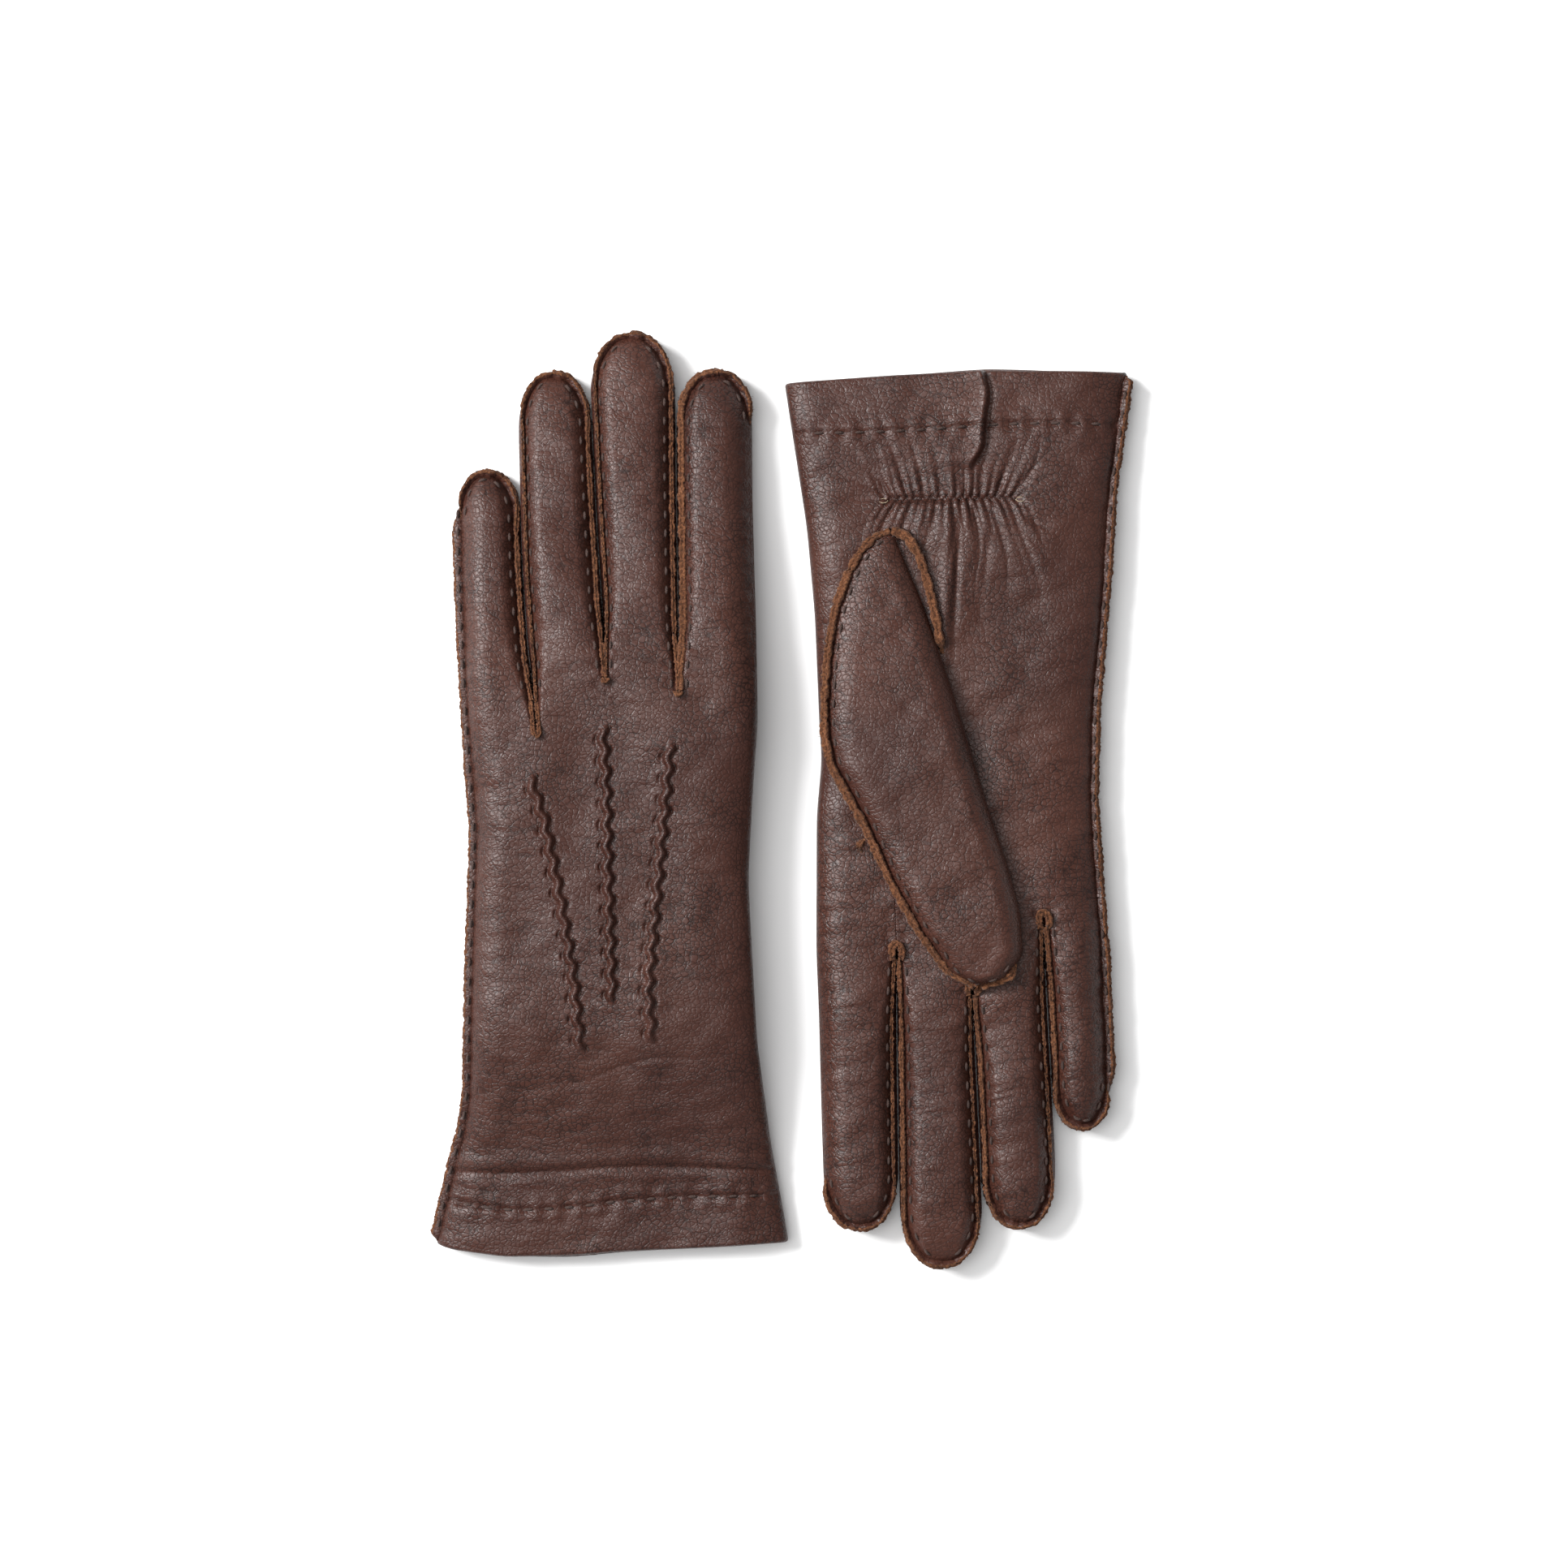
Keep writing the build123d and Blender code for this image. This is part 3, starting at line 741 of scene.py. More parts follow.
def fibre_hairs(rng, count, path, side, stand, width, height, first):
    """Fine loose fibres on the raw edge."""
    row = rng.integers(3, len(path) - 3, count)
    offset = rng.uniform(-0.48, 0.48, count)
    root = path[row] + side[row] * (offset * width[row])[:, None]
    root = root + stand[row] * (height[row] * 0.93)[:, None]
    lean = side[row] * (offset * 2.2 + rng.normal(0, 0.35, count))[:, None]
    lean = lean + stand[row] * rng.uniform(0.2, 0.9, count)[:, None] + rng.normal(0, 0.3, (count, 3))
    lean = unit(lean)
    reach = rng.uniform(0.25, 0.95, count)[:, None]
    sideways = unit(np.cross(lean, [0.3, 0.5, 0.8])) * 0.045
    other = np.cross(lean, sideways)
    tip = root + lean * reach + rng.normal(0, 0.05, (count, 3))
    back = root - sideways * 0.5
    corners = np.stack([root + sideways, back + other, back - other, tip], axis=1)
    faces = []
    for hair in range(count):
        a = first + hair * 4
        faces += [(a, a + 1, a + 3), (a + 1, a + 2, a + 3), (a + 2, a, a + 3), (a, a + 2, a + 1)]
    return corners.reshape(-1, 3), faces


def stitch_row(
    path, up, pitch=STITCH_PITCH, length=STITCH_LENGTH, radius=STITCH_RADIUS, first=0.0
):
    """Short rounded dashes of thread along a path, each arching a little."""
    path = np.asarray(path, float)
    run = distance_run(path)
    rings, sides = 7, 8
    vertices, faces = [], []
    place = first + length / 2
    while place < run[-1] - length / 2:
        spots = place + np.linspace(-length / 2, length / 2, rings)
        centre = np.stack([np.interp(spots, run, column) for column in path.T], axis=1)
        lift = np.stack([np.interp(spots, run, column) for column in np.asarray(up, float).T], axis=1)
        lift = unit(lift)
        tangent = unit(np.gradient(centre, axis=0))
        side = np.cross(tangent, lift)
        share = np.linspace(-1, 1, rings)
        size = radius * np.sqrt(np.maximum(1 - np.power(np.abs(share), 2.5), 0.03))
        centre = centre + lift * (radius * 0.9 * (1 - share**2) - 0.1)[:, None]
        start = len(vertices) * rings * sides
        angle = np.linspace(0, 2 * math.pi, sides, endpoint=False)
        ring = (
            centre[:, None]
            + side[:, None] * (np.cos(angle)[None, :, None] * size[:, None, None])
            + lift[:, None] * (np.sin(angle)[None, :, None] * size[:, None, None])
        )
        vertices.append(ring.reshape(-1, 3))
        faces += grid_faces(rings, sides, start=start, closed=True)
        faces.append([start + i for i in range(sides)][::-1])
        faces.append([start + (rings - 1) * sides + i for i in range(sides)])
        place += pitch
    return np.concatenate(vertices), faces


def merge(parts):
    """Several (vertices, faces, indices) meshes as one."""
    vertices, faces, indices, shift = [], [], [], 0
    for part in parts:
        vertices.append(part[0])
        faces += [[corner + shift for corner in face] for face in part[1]]
        indices.append(part[2] if len(part) > 2 else np.zeros(len(part[1]), int))
        shift += len(part[0])
    return np.concatenate(vertices), faces, np.concatenate(indices)


def phase_start(v):
    """Distance from v to the start of the first stitch, so that stitches keep one rhythm along v."""
    return float((STITCH_PITCH - STITCH_LENGTH / 2 - v) % STITCH_PITCH)


def finger_halves(glove, k, from_low, from_high, inset):
    """Plan lines up both sides of a finger, each from its root to the fingertip."""
    v, low, high, _ = finger_rows(glove, k)
    tip = ((low[-1] + high[-1]) / 2, v[-1] - inset)
    halves = []
    for side, shift, start in ((low, inset, from_low), (high, -inset, from_high)):
        line = [(u + shift, w) for u, w in zip(side, v) if w >= start and w < tip[1] - 0.4]
        line = [point for point in line if (tip[0] - point[0]) * shift > 0]
        past_tip = (tip[0] + math.copysign(0.6, shift), tip[1])
        halves.append(resample(line + [tip, past_tip], 0.5)[0])
    return halves


def outward_of(line, side):
    """Unit plan vectors square to a line up a finger, pointing to one side (-1 or 1)."""
    tangent = np.gradient(line, axis=0)
    return unit(np.stack([tangent[:, 1], -tangent[:, 0]], axis=1) * side)


def finger_height(glove, k, line, upper):
    """Height of a finger's leather under a plan line."""
    finger = FINGERS[k]
    v, low, high, round_share = finger_rows(glove, k)
    share = np.power(np.maximum(np.interp(line[:, 1], v, round_share), 0), 0.8)
    shoulder = v[-TIP_ROWS - 1]
    full_low, full_high = glove.finger_sides(k, np.minimum(line[:, 1], shoulder))
    near_low = np.interp(line[:, 1], v, low)
    near_high = np.interp(line[:, 1], v, high)
    place = (line[:, 0] - near_low) / np.maximum(near_high - near_low, 0.5)
    read_u = full_low + np.clip(place, 0, 1) * (full_high - full_low)
    heights = glove.surfaces(read_u, line[:, 1], finger, np.maximum(share, 0.05))
    return heights[0] if upper else heights[1]


def make_finger_seams(glove, k, materials, thread):
    """The raw seam edges and stitches of one finger, above and below."""
    finger = FINGERS[k]
    parts, dashes = [], []
    for upper in (True, False):
        crotches = glove.top_crotches if upper else glove.under_crotches
        fold_v = glove.tip[finger] - 14
        late = PALM_LEG_LENGTH - 0.6 if upper == (glove.name == "right") else 0.0
        low_start = crotches[k - 1] + late if k > 0 else fold_v + 2
        high_start = crotches[k] + late if k < 3 else fold_v
        starts = [max(start, SPLIT_V) for start in (low_start, high_start)]
        halves = finger_halves(glove, k, *starts, FLANGE_INSET)
        for half, side in zip(halves, (-1, 1)):
            open_end = 6.0 if half[0, 1] > fold_v - 3 else 0
            outward = outward_of(half, side)
            height = finger_height(glove, k, half, upper)
            sign = 1.0 if upper else -1.0
            base = np.column_stack([half, height - sign * 0.5])
            near_tip = smooth_step((half[:, 1] - glove.tip[finger] + 16) / 12)
            lean = (0.12 if side < 0 else 0.32) + 0.75 * near_tip
            stand = np.column_stack([outward * lean[:, None], np.full(len(half), sign * 0.9)])
            facing_up = k == 3 and side < 0 and glove.name == "left" and upper
            thick = 2.2 if facing_up else (0.95 if side < 0 else 1.4)
            seed = seam_seed(glove, k, upper) + side
            parts.append(flange(base, stand, seed=seed, thick=thick, tapers=(open_end, 0)))
            inside = half - outward * (thick / 2 + 0.55)
            inside_height = finger_height(glove, k, inside, upper)
            thread_path = np.column_stack([inside, inside_height + sign * 0.05])
            up = np.column_stack([outward * 0.3, np.full(len(half), sign)])
            dashes.append(stitch_row(thread_path, up, first=phase_start(half[0, 1])))
    name = f"{glove.name}_{finger}"
    add_piece(f"{name}_seam_edges", glove, merge(parts), materials, "suede", finger)
    dashes = merge(dashes)
    add_piece(f"{name}_stitches", glove, dashes, [thread], "thread", finger, f"{name}_thread")


def seam_seed(glove, k, upper):
    """A steady seed for one seam."""
    return 100 + 20 * k + (7 if upper else 0) + (300 if glove.name == "left" else 0)


def make_crotch_seams(glove, materials):
    """The seam edge looping round each crotch, and running down to it where that is on the hand."""
    for upper in (True, False):
        crotches = glove.top_crotches if upper else glove.under_crotches
        sign = 1.0 if upper else -1.0
        for k, crotch in enumerate(crotches):
            turn = np.linspace(math.pi, 2 * math.pi, 15)
            on_palm = upper == (glove.name == "right")
            reach, depth, thick = (1.4, 2.2, 2.0) if on_palm else (0.8, 1.1, 1.35)
            loop = [(reach * math.cos(a), crotch + depth * math.sin(a)) for a in turn]
            if on_palm:
                legs = [(reach - 0.1, crotch + 1.0), (reach - 0.3, crotch + PALM_LEG_LENGTH)]
                loop = [(-u, v) for u, v in legs[::-1]] + loop + legs
            if crotch < SPLIT_V:
                legs = np.arange(SPLIT_V + 0.3, crotch + 0.5, -1.0)
                loop = [(-reach, v) for v in legs] + loop + [(reach, v) for v in legs[::-1]]
            loop = np.array(loop)
            loop[:, 0] += glove.line(k + 1, loop[:, 1])
            path, _ = resample(loop, 0.35)
            finger = FINGERS[k] if crotch > SPLIT_V else None
            heights = glove.surfaces(path[:, 0], path[:, 1], finger)
            near = np.column_stack([path, heights[0 if upper else 1] - sign * 0.1])
            near[:, 2] += sign * 0.3 * bell((path[:, 1] - crotch + 1.6) / 1.2)
            stand = np.tile([0.0, 0.0, sign], (len(path), 1))
            seed = 40 + 5 * k + int(upper) + (30 if glove.name == "left" else 0)
            shape = flange(near, stand, seed=seed, thick=thick, tall=1.5, tapers=(0, 0))
            place = "top" if upper else "under"
            name = f"{glove.name}_{FINGERS[k]}_{place}_crotch_edge"
            add_piece(name, glove, shape, materials, "suede", finger or "hand")


def edge_height(glove, v, finger=None):
    """Height of the glove's side edge at v."""
    drop = glove.lift(v, finger)
    low, high = glove.low(v) + drop, glove.high(v) + drop
    return low + EDGE_SHARE * (high - low)


def side_seam_path(glove, on_finger):
    """The side seam along the little side: the hand's part, or the little finger's."""
    if on_finger:
        v, low, _, _ = finger_rows(glove, 0)
        keep = v < glove.tip["little"] - 7
        line = np.column_stack([low[keep], v[keep]])
        return np.column_stack([line, edge_height(glove, line[:, 1], "little")])
    v = np.arange(glove.cuff + 0.8, SPLIT_V + 0.4, 0.5)
    return np.column_stack([glove.edge_low(v), v, edge_height(glove, v)])


def make_side_seam(glove, materials, thread):
    """The raw edge and stitches down the little side; the right glove's stands up more."""
    rise, thread_shift = SIDE_SEAM_STAND[glove.name]
    for on_finger in (False, True):
        path = side_seam_path(glove, on_finger)
        path, _ = resample(path, 0.5)
        outward = np.column_stack([np.full(len(path), -1.0), 0 * path[:, 1], np.full(len(path), rise)])
        base = path + [0.3, 0.0, 0.6]
        tapers = (0, 8.0) if on_finger else (2.0, 0)
        edge = flange(base, outward, seed=71 + on_finger, thick=1.9, tall=2.1, tapers=tapers)
        up = np.column_stack([np.full(len(path), -0.2), 0 * path[:, 1], np.ones(len(path))])
        dashes = stitch_row(base + thread_shift, up, first=phase_start(base[0, 1]))
        part = "little" if on_finger else "hand"
        nodes = [] if on_finger else [f"{glove.name}_side_seam_thread"]
        name = f"{glove.name}_{part}_side"
        add_piece(f"{name}_edge", glove, edge, materials, "suede", part)
        add_piece(f"{name}_stitches", glove, dashes, [thread], "thread", part, *nodes)


def make_hem_stitches(glove, thread):
    """The running stitch that holds the turned-in hem, above and below."""
    first_u = float(glove.edge_low(glove.cuff)) + 6
    last_u = float(glove.edge_high(glove.cuff)) - 5
    u = np.arange(first_u, last_u, 0.5)
    v = glove.hem_line(u)
    rows = []
    for height, sign in zip(glove.surfaces(u, v), (1.0, -1.0)):
        path = np.column_stack([u, v, height + sign * 0.1])
        up = np.tile([0.0, 0.0, sign], (len(path), 1))
        rows.append(stitch_row(path, up, pitch=HEM_PITCH, length=2.6, radius=0.40, first=1.5))
    name = glove.name
    dashes = merge(rows)
    add_piece(f"{name}_hem_stitches", glove, dashes, [thread], "thread", "hand", f"{name}_hem_thread")


def make_point_stitches(glove, thread):
    """The thread that draws up the three points on the back."""
    rows = []
    for line in POINTS:
        points, run = resample(line, 0.4)
        square = np.gradient(points, axis=0)
        square = unit(np.column_stack([-square[:, 1], square[:, 0]]))
        wave = 2 * math.pi * run / POINT_WAVE
        for hand in (-1, 1):
            beside = points + square * (0.55 * np.sin(wave) + hand * 1.5)[:, None]
            top, bottom = glove.surfaces(beside[:, 0], beside[:, 1])
            height = top + 0.05 if glove.name == "left" else bottom + 0.1
            sign = 1.0 if glove.name == "left" else -1.0
            path = np.column_stack([beside, height])
            up = np.tile([0.0, 0.0, sign], (len(path), 1))
            start = 0.5 if hand > 0 else 0.5 + POINT_WAVE / 2
            row = stitch_row(path, up, pitch=POINT_WAVE, length=1.5, radius=0.24, first=start)
            rows.append(row)
    name, node = f"{glove.name}_point_stitches", f"{glove.name}_points_thread"
    add_piece(name, glove, merge(rows), [thread], "thread", "hand", node)


# ---------------------------------------------------------------- linings and elastic
def tube(rings):
    """A closed tube through equal rings, with both ends covered."""
    rings = np.asarray(rings, float)
    rows, columns = rings.shape[:2]
    faces = grid_faces(rows, columns, closed=True)
    faces.append(list(range(columns))[::-1])
    faces.append([(rows - 1) * columns + i for i in range(columns)])
    return rings.reshape(-1, 3), faces


def make_hand_lining(glove, material):
    """The knitted lining of the hand, open at the cuff."""
    angle = np.linspace(0, 2 * math.pi, LINING_SIDES, endpoint=False)
    cos, sin = np.cos(angle), np.sin(angle)
    shape_u = np.sign(cos) * np.power(np.abs(cos), 0.5)
    shape_z = np.sign(sin) * np.power(np.abs(sin), 0.6)
    rings = []
    for v in np.arange(glove.cuff + 9, SPLIT_V + 1, 3.0):
        low, high = glove.low(v), glove.high(v)
        middle_u = (glove.edge_low(v) + glove.edge_high(v)) / 2
        half_u = (glove.edge_high(v) - glove.edge_low(v)) / 2 - 4.5
        half_z = (high - low) / 2 - 2.6
        ring_u = middle_u + half_u * shape_u
        ring_z = (low + high) / 2 + half_z * shape_z
        rings.append(np.column_stack([ring_u, np.full(LINING_SIDES, v), ring_z]))
    rings = np.array(rings)
    faces = grid_faces(len(rings), LINING_SIDES, closed=True)
    faces.append([(len(rings) - 1) * LINING_SIDES + i for i in range(LINING_SIDES)])
    node = f"{glove.name}_hand_lining"
    shape = (rings.reshape(-1, 3), faces)
    add_piece(
        f"{node}_knit", glove, shape, [material], "lining", "hand", node, thickness=KNIT_THICKNESS
    )


def make_finger_lining(glove, k, material):
    """The knitted lining of one finger."""
    finger = FINGERS[k]
    angle = np.linspace(0, 2 * math.pi, LINING_SIDES, endpoint=False)
    v, low, high, share = finger_rows(glove, k)
    rings = []
    for row in range(4, len(v) - 3, 6):
        base_low = glove.low(v[row]) + glove.lift(v[row], finger)
        base_high = glove.high(v[row]) + glove.lift(v[row], finger)
        half_u = (high[row] - low[row]) / 2 - 2.2
        half_z = ((base_high - base_low) / 2 - 2.2) * max(share[row], 0.2) ** 0.8
        centre_z = base_low + 0.46 * (base_high - base_low)
        if half_u > 1 and half_z > 0.6:
            ring_u = (low[row] + high[row]) / 2 + half_u * np.cos(angle)
            ring_z = centre_z + half_z * np.sin(angle)
            rings.append(np.column_stack([ring_u, np.full(LINING_SIDES, v[row]), ring_z]))
    node = f"{glove.name}_{finger}_lining"
    add_piece(f"{node}_knit", glove, tube(rings), [material], "lining", finger, node)


def make_elastic(glove, material):
    """The flat elastic inside the palm side of the wrist."""
    count = 60
    middle = (GATHER_FROM + GATHER_TO) / 2
    u = np.linspace(-ELASTIC_HALF_LENGTH, ELASTIC_HALF_LENGTH, count) + middle
    upper = glove.name == "right"
    top, bottom = glove.surfaces(u, np.full(count, GATHER_V))
    height = top - 1.7 if upper else bottom + 1.7
    strip = []
    for side in (-ELASTIC_HALF_WIDTH, 0, ELASTIC_HALF_WIDTH):
        strip.append(np.column_stack([u, np.full(count, GATHER_V + side), height]))
    shape = (np.concatenate(strip), grid_faces(3, count, flip=not upper))
    name, node = f"{glove.name}_elastic_tape", f"{glove.name}_wrist_elastic"
    add_piece(name, glove, shape, [material], "elastic", "hand", node, thickness=KNIT_THICKNESS)


# ---------------------------------------------------------------- the thumbs
def thumb_lines(glove):
    """Both sides of a thumb's plan, from its base to its tip, evenly matched."""
    if glove.name == "right":
        index_side, _ = resample(THUMB_INDEX_SIDE, 0.6)
        inner_side, _ = resample(THUMB_INNER_SIDE, 0.6)
    else:
        joint = JOINTS["left_thumb_swing"]["pos_m"]
        base = np.array([joint[0] / MM - glove.origin, joint[1] / MM])
        tip = np.array(LEFT_THUMB_TIP)
        along = (tip - base) / np.linalg.norm(tip - base)
        square = np.array([along[1], -along[0]])
        round_base = np.linspace(math.pi, math.pi / 2, 20)
        round_tip = round_base - math.pi / 2
        sides = []
        for hand in (square, -square):
            side = []
            for angle in round_base:
                reach = along * math.cos(angle) + hand * math.sin(angle)
                side.append(base + LEFT_THUMB_BASE_RADIUS * reach)
            for angle in round_tip:
                reach = along * math.cos(angle) + hand * math.sin(angle)
                side.append(tip + LEFT_THUMB_TIP_RADIUS * reach)
            sides.append(resample(side, 0.6)[0])
        index_side, inner_side = sides
    even = np.linspace(0, 1, THUMB_ROWS)
    share = (1 - np.cos(np.linspace(0, math.pi, THUMB_ROWS))) / 2 * 0.25 + even * 0.75
    matched = []
    for side in (index_side, inner_side):
        run = np.linspace(0, 1, len(side))
        matched.append(np.stack([np.interp(share, run, column) for column in side.T], axis=1))
    return matched[0], matched[1], share


def thumb_grid(glove):
    """Upper and lower surfaces of a thumb."""
    index_side, inner_side, share = thumb_lines(glove)
    across = across_shares(THUMB_COLUMNS)
    plan = index_side[:, None] * (1 - across)[None, :, None]
    plan = plan + inner_side[:, None] * across[None, :, None]
    width = np.linalg.norm(index_side - inner_side, axis=1)
    from_index = across[None, :] * width[:, None]
    from_inner = (1 - across)[None, :] * width[:, None]
    cover = round_edge(from_index, 8.0) * round_edge(from_inner, 6.5)
    u, v = plan[..., 0], plan[..., 1]
    fine = glove.creases(u * 0.9 + 40, v * 0.9)
    rolls = 0.25 * glove.hills(u + 60, v) + 0.09 * glove.dents(u + 30, v) + 0.04 * fine
    slant = (v - u) / math.sqrt(2)
    creased = bell((share[:, None] - 0.72) / 0.16) * smooth_step(from_index / 4)
    rolls = rolls + 0.055 * creased * np.sin(2 * math.pi * (slant + 0.8 * np.sin(u / 3)) / 2.1)
    if glove.name == "right":
        base = float(glove.high(-30.0)) + 0.35
        tall = 2.6 + 5.2 * smooth_step(share / 0.45) - 1.2 * smooth_step((share - 0.8) / 0.2)
        top = base + tall[:, None] * cover + rolls * cover
        rim = 0.9 * (1 - np.clip(cover * 1.3, 0, 1))
        bottom = base - 0.25 + rim + 0.8 * np.maximum(rolls, 0) * cover
    else:
        low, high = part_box("left_thumb_leather")
        top = 4.0 + (high.z / MM - 4.2) * np.clip(cover, 0, 1)
        bottom = 4.0 - 3.8 * np.power(cover, 0.7)
    return plan, top, bottom, index_side, inner_side, share


def bend_thumb(piece, glove):
    """Work out the line over the right thumb's mouth that a piece would bend across, and bake its
    placement into the mesh; no bend is set up.
    """
    axis = Vector(JOINTS["right_thumb_lift"]["axis"])
    centre = Vector(glove.world([*THUMB_BEND_CENTRE, 0]))
    forward = Vector((axis.y, -axis.x, 0)).normalized()
    tip = Vector(glove.world([*THUMB_INDEX_SIDE[-1], 0]))
    if forward.dot(tip - centre) < 0:
        forward = -forward
    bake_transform(piece)


def make_thumb(glove, leather, suede_pair, thread, lining):
    """A thumb's skin, seam edge, stitches, quirk and lining."""
    plan, top, bottom, index_side, inner_side, share = thumb_grid(glove)
    name = glove.name
    right = name == "right"
    middle_column = THUMB_COLUMNS // 2
    upper = np.concatenate([plan, top[..., None]], axis=-1)
    under = np.concatenate([plan, bottom[..., None]], axis=-1)[:, ::-1]
    rings = np.concatenate([upper, under], axis=1)
    faces = grid_faces(rings.shape[0], rings.shape[1], closed=True, flip=True)
    shape = (rings.reshape(-1, 3), faces)
    nodes = [f"{name}_thumb_leather"] + (["right_thumb_root"] if right else [])
    add_piece(f"{name}_thumb_skin", glove, shape, [leather], "leather", "thumb", *nodes)

    # the seam runs down the index side and round the tip
    seam_rows = share > (0.0 if right else 0.2)
    tip_rows = share > 0.9
    sign, face = (1.0, top) if right else (-1.0, bottom)
    line = np.concatenate([index_side[seam_rows], inner_side[tip_rows][::-1]])
    heights = np.concatenate([face[seam_rows, 3], face[tip_rows, -4][::-1]]) - sign * 0.7
    path, _ = resample(np.column_stack([line, heights]), 0.5)
    centre = plan[:, middle_column]
    nearest = np.array([centre[np.argmin(np.hypot(*(centre - p[:2]).T))] for p in path])
    outward = path[:, :2] - nearest
    outward = outward / np.maximum(np.linalg.norm(outward, axis=1, keepdims=True), 0.3)
    path[:, :2] -= outward * 0.5
    stand = np.column_stack([outward * 0.35, np.full(len(path), sign)])
    edge = flange(path, stand, seed=55, thick=2.3, tall=2.2, fibres=4.0, tapers=(0, 4.0))
    add_piece(f"{name}_thumb_seam_edge", glove, edge, suede_pair, "suede", "thumb")

    inside = path.copy()
    inside[:, :2] -= outward * 2.0
    for point in inside:
        apart = np.hypot(plan[..., 0] - point[0], plan[..., 1] - point[1])
        row, column = divmod(int(np.argmin(apart)), THUMB_COLUMNS)
        point[2] = face[row, column] + sign * 0.08
    dashes = stitch_row(inside, stand)
    node = f"{name}_thumb_thread"
    add_piece(f"{name}_thumb_stitches", glove, dashes, [thread], "thread", "thumb", node)

    quirk_row = LEFT_QUIRK_ROW
    if right:
        quirk_row = int(np.argmin(np.hypot(*(index_side - np.array(QUIRK_SPOT)).T)))
    spot = np.append(index_side[quirk_row], face[quirk_row, 2])
    aside = 1.0 if right else -0.5
    quirk_line, _ = resample([spot + [aside * du, dv, dz] for du, dv, dz in QUIRK_CURL], 0.4)
    quirk_stand = np.tile([0.3, 0.2, sign], (len(quirk_line), 1))
    tab = flange(quirk_line, quirk_stand, seed=91, thick=2.0, tall=1.7, fibres=4)
    node = f"{name}_thumb_quirk"
    add_piece(f"{node}_tab", glove, tab, suede_pair, "suede", "thumb", node)

    angle = np.linspace(0, 2 * math.pi, 32, endpoint=False)
    rings = []
    for row in range(30, 200, 8):
        middle = plan[row, middle_column]
        reach = (inner_side[row] - index_side[row]) / 2 * 0.72
        high, low = top[row, middle_column], bottom[row, middle_column]
        half_z = (high - low) / 2 - 1.5
        if half_z > 0.5:
            ring_u = middle[0] + reach[0] * np.cos(angle)
            ring_v = middle[1] + reach[1] * np.cos(angle)
            ring_z = (high + low) / 2 + half_z * np.sin(angle)
            rings.append(np.column_stack([ring_u, ring_v, ring_z]))
    node = f"{name}_thumb_lining"
    add_piece(f"{node}_knit", glove, tube(rings), [lining], "lining", "thumb", node)


def make_arch_edge(glove, suede_pair):
    """The raw edge of the palm round the thumb's opening, where the thumb leaves it bare."""
    outline = ARCH_INNER_SIDE
    if glove.name == "left":
        outline = THUMB_INDEX_SIDE[4::-1] + ARCH_INNER_SIDE[1:]
    path, _ = resample(outline, 0.5)
    top, bottom = glove.surfaces(path[:, 0], path[:, 1])
    height, sign = (top - 0.3, 1.0) if glove.name == "right" else (bottom + 0.3, -1.0)
    base = np.column_stack([path, height])
    stand = np.tile([0.12, 0.0, sign], (len(path), 1))
    tapers = (0, 4.0) if glove.name == "right" else (4.0, 4.0)
    edge = flange(base, stand, seed=57, thick=2.7, tall=2.3, fibres=4.0, tapers=tapers)
    add_piece(f"{glove.name}_arch_edge", glove, edge, suede_pair, "suede", "hand")


def make_shirring(glove, thread, loop_thread):
    """The shirring stitches over the gathers and the two thread ends beside them."""
    u = np.arange(GATHER_FROM, GATHER_TO, 0.25)
    v = np.full(len(u), GATHER_V)
    upper = glove.name == "right"
    top, bottom = glove.surfaces(u, v)
    height = top + 0.05 if upper else bottom - 0.05
    path = np.column_stack([u, v, height])
    up = np.tile([0.0, 0.0, 1.0 if upper else -1.0], (len(u), 1))
    dashes = stitch_row(path, up, pitch=PLEAT_PITCH, length=0.9, radius=0.16)
    add_piece(f"{glove.name}_shirring_stitches", glove, dashes, [thread], "thread", "hand")
    loops = []
    for end, turn in ((GATHER_FROM, -1), (GATHER_TO, 1)):
        angle = np.linspace(0.4, 5.6, 26)
        loop_u = end + turn * (1.2 + 1.25 * np.cos(angle))
        loop_v = GATHER_V + 0.3 + 0.62 * np.sin(angle)
        top, bottom = glove.surfaces(loop_u, loop_v)
        loop_z = top + 0.2 if upper else bottom - 0.2
        line = np.column_stack([loop_u, loop_v, loop_z])
        up = np.tile([0.0, 0.0, 1.0], (len(line), 1))
        length = float(distance_run(line)[-1])
        loops.append(stitch_row(line, up, pitch=99, length=length * 0.97, radius=0.17))
    name = f"{glove.name}_elastic_thread_ends"
    add_piece(name, glove, merge(loops), [loop_thread], "elastic", "hand")


# ---------------------------------------------------------------- materials
def grey(level, green=None, blue=None):
    """A linear colour, grey unless its green and blue are given."""
    return (level, level if green is None else green, level if blue is None else blue, 1)


WHITE = grey(1)


def linear(red, green, blue):
    """Screen colour from 0 to 255 as linear red, green, blue, alpha."""
    channels = []
    for value in (red, green, blue):
        share = value / 255
        channels.append(share / 12.92 if share <= 0.04045 else ((share + 0.055) / 1.055) ** 2.4)
    return (*channels, 1.0)


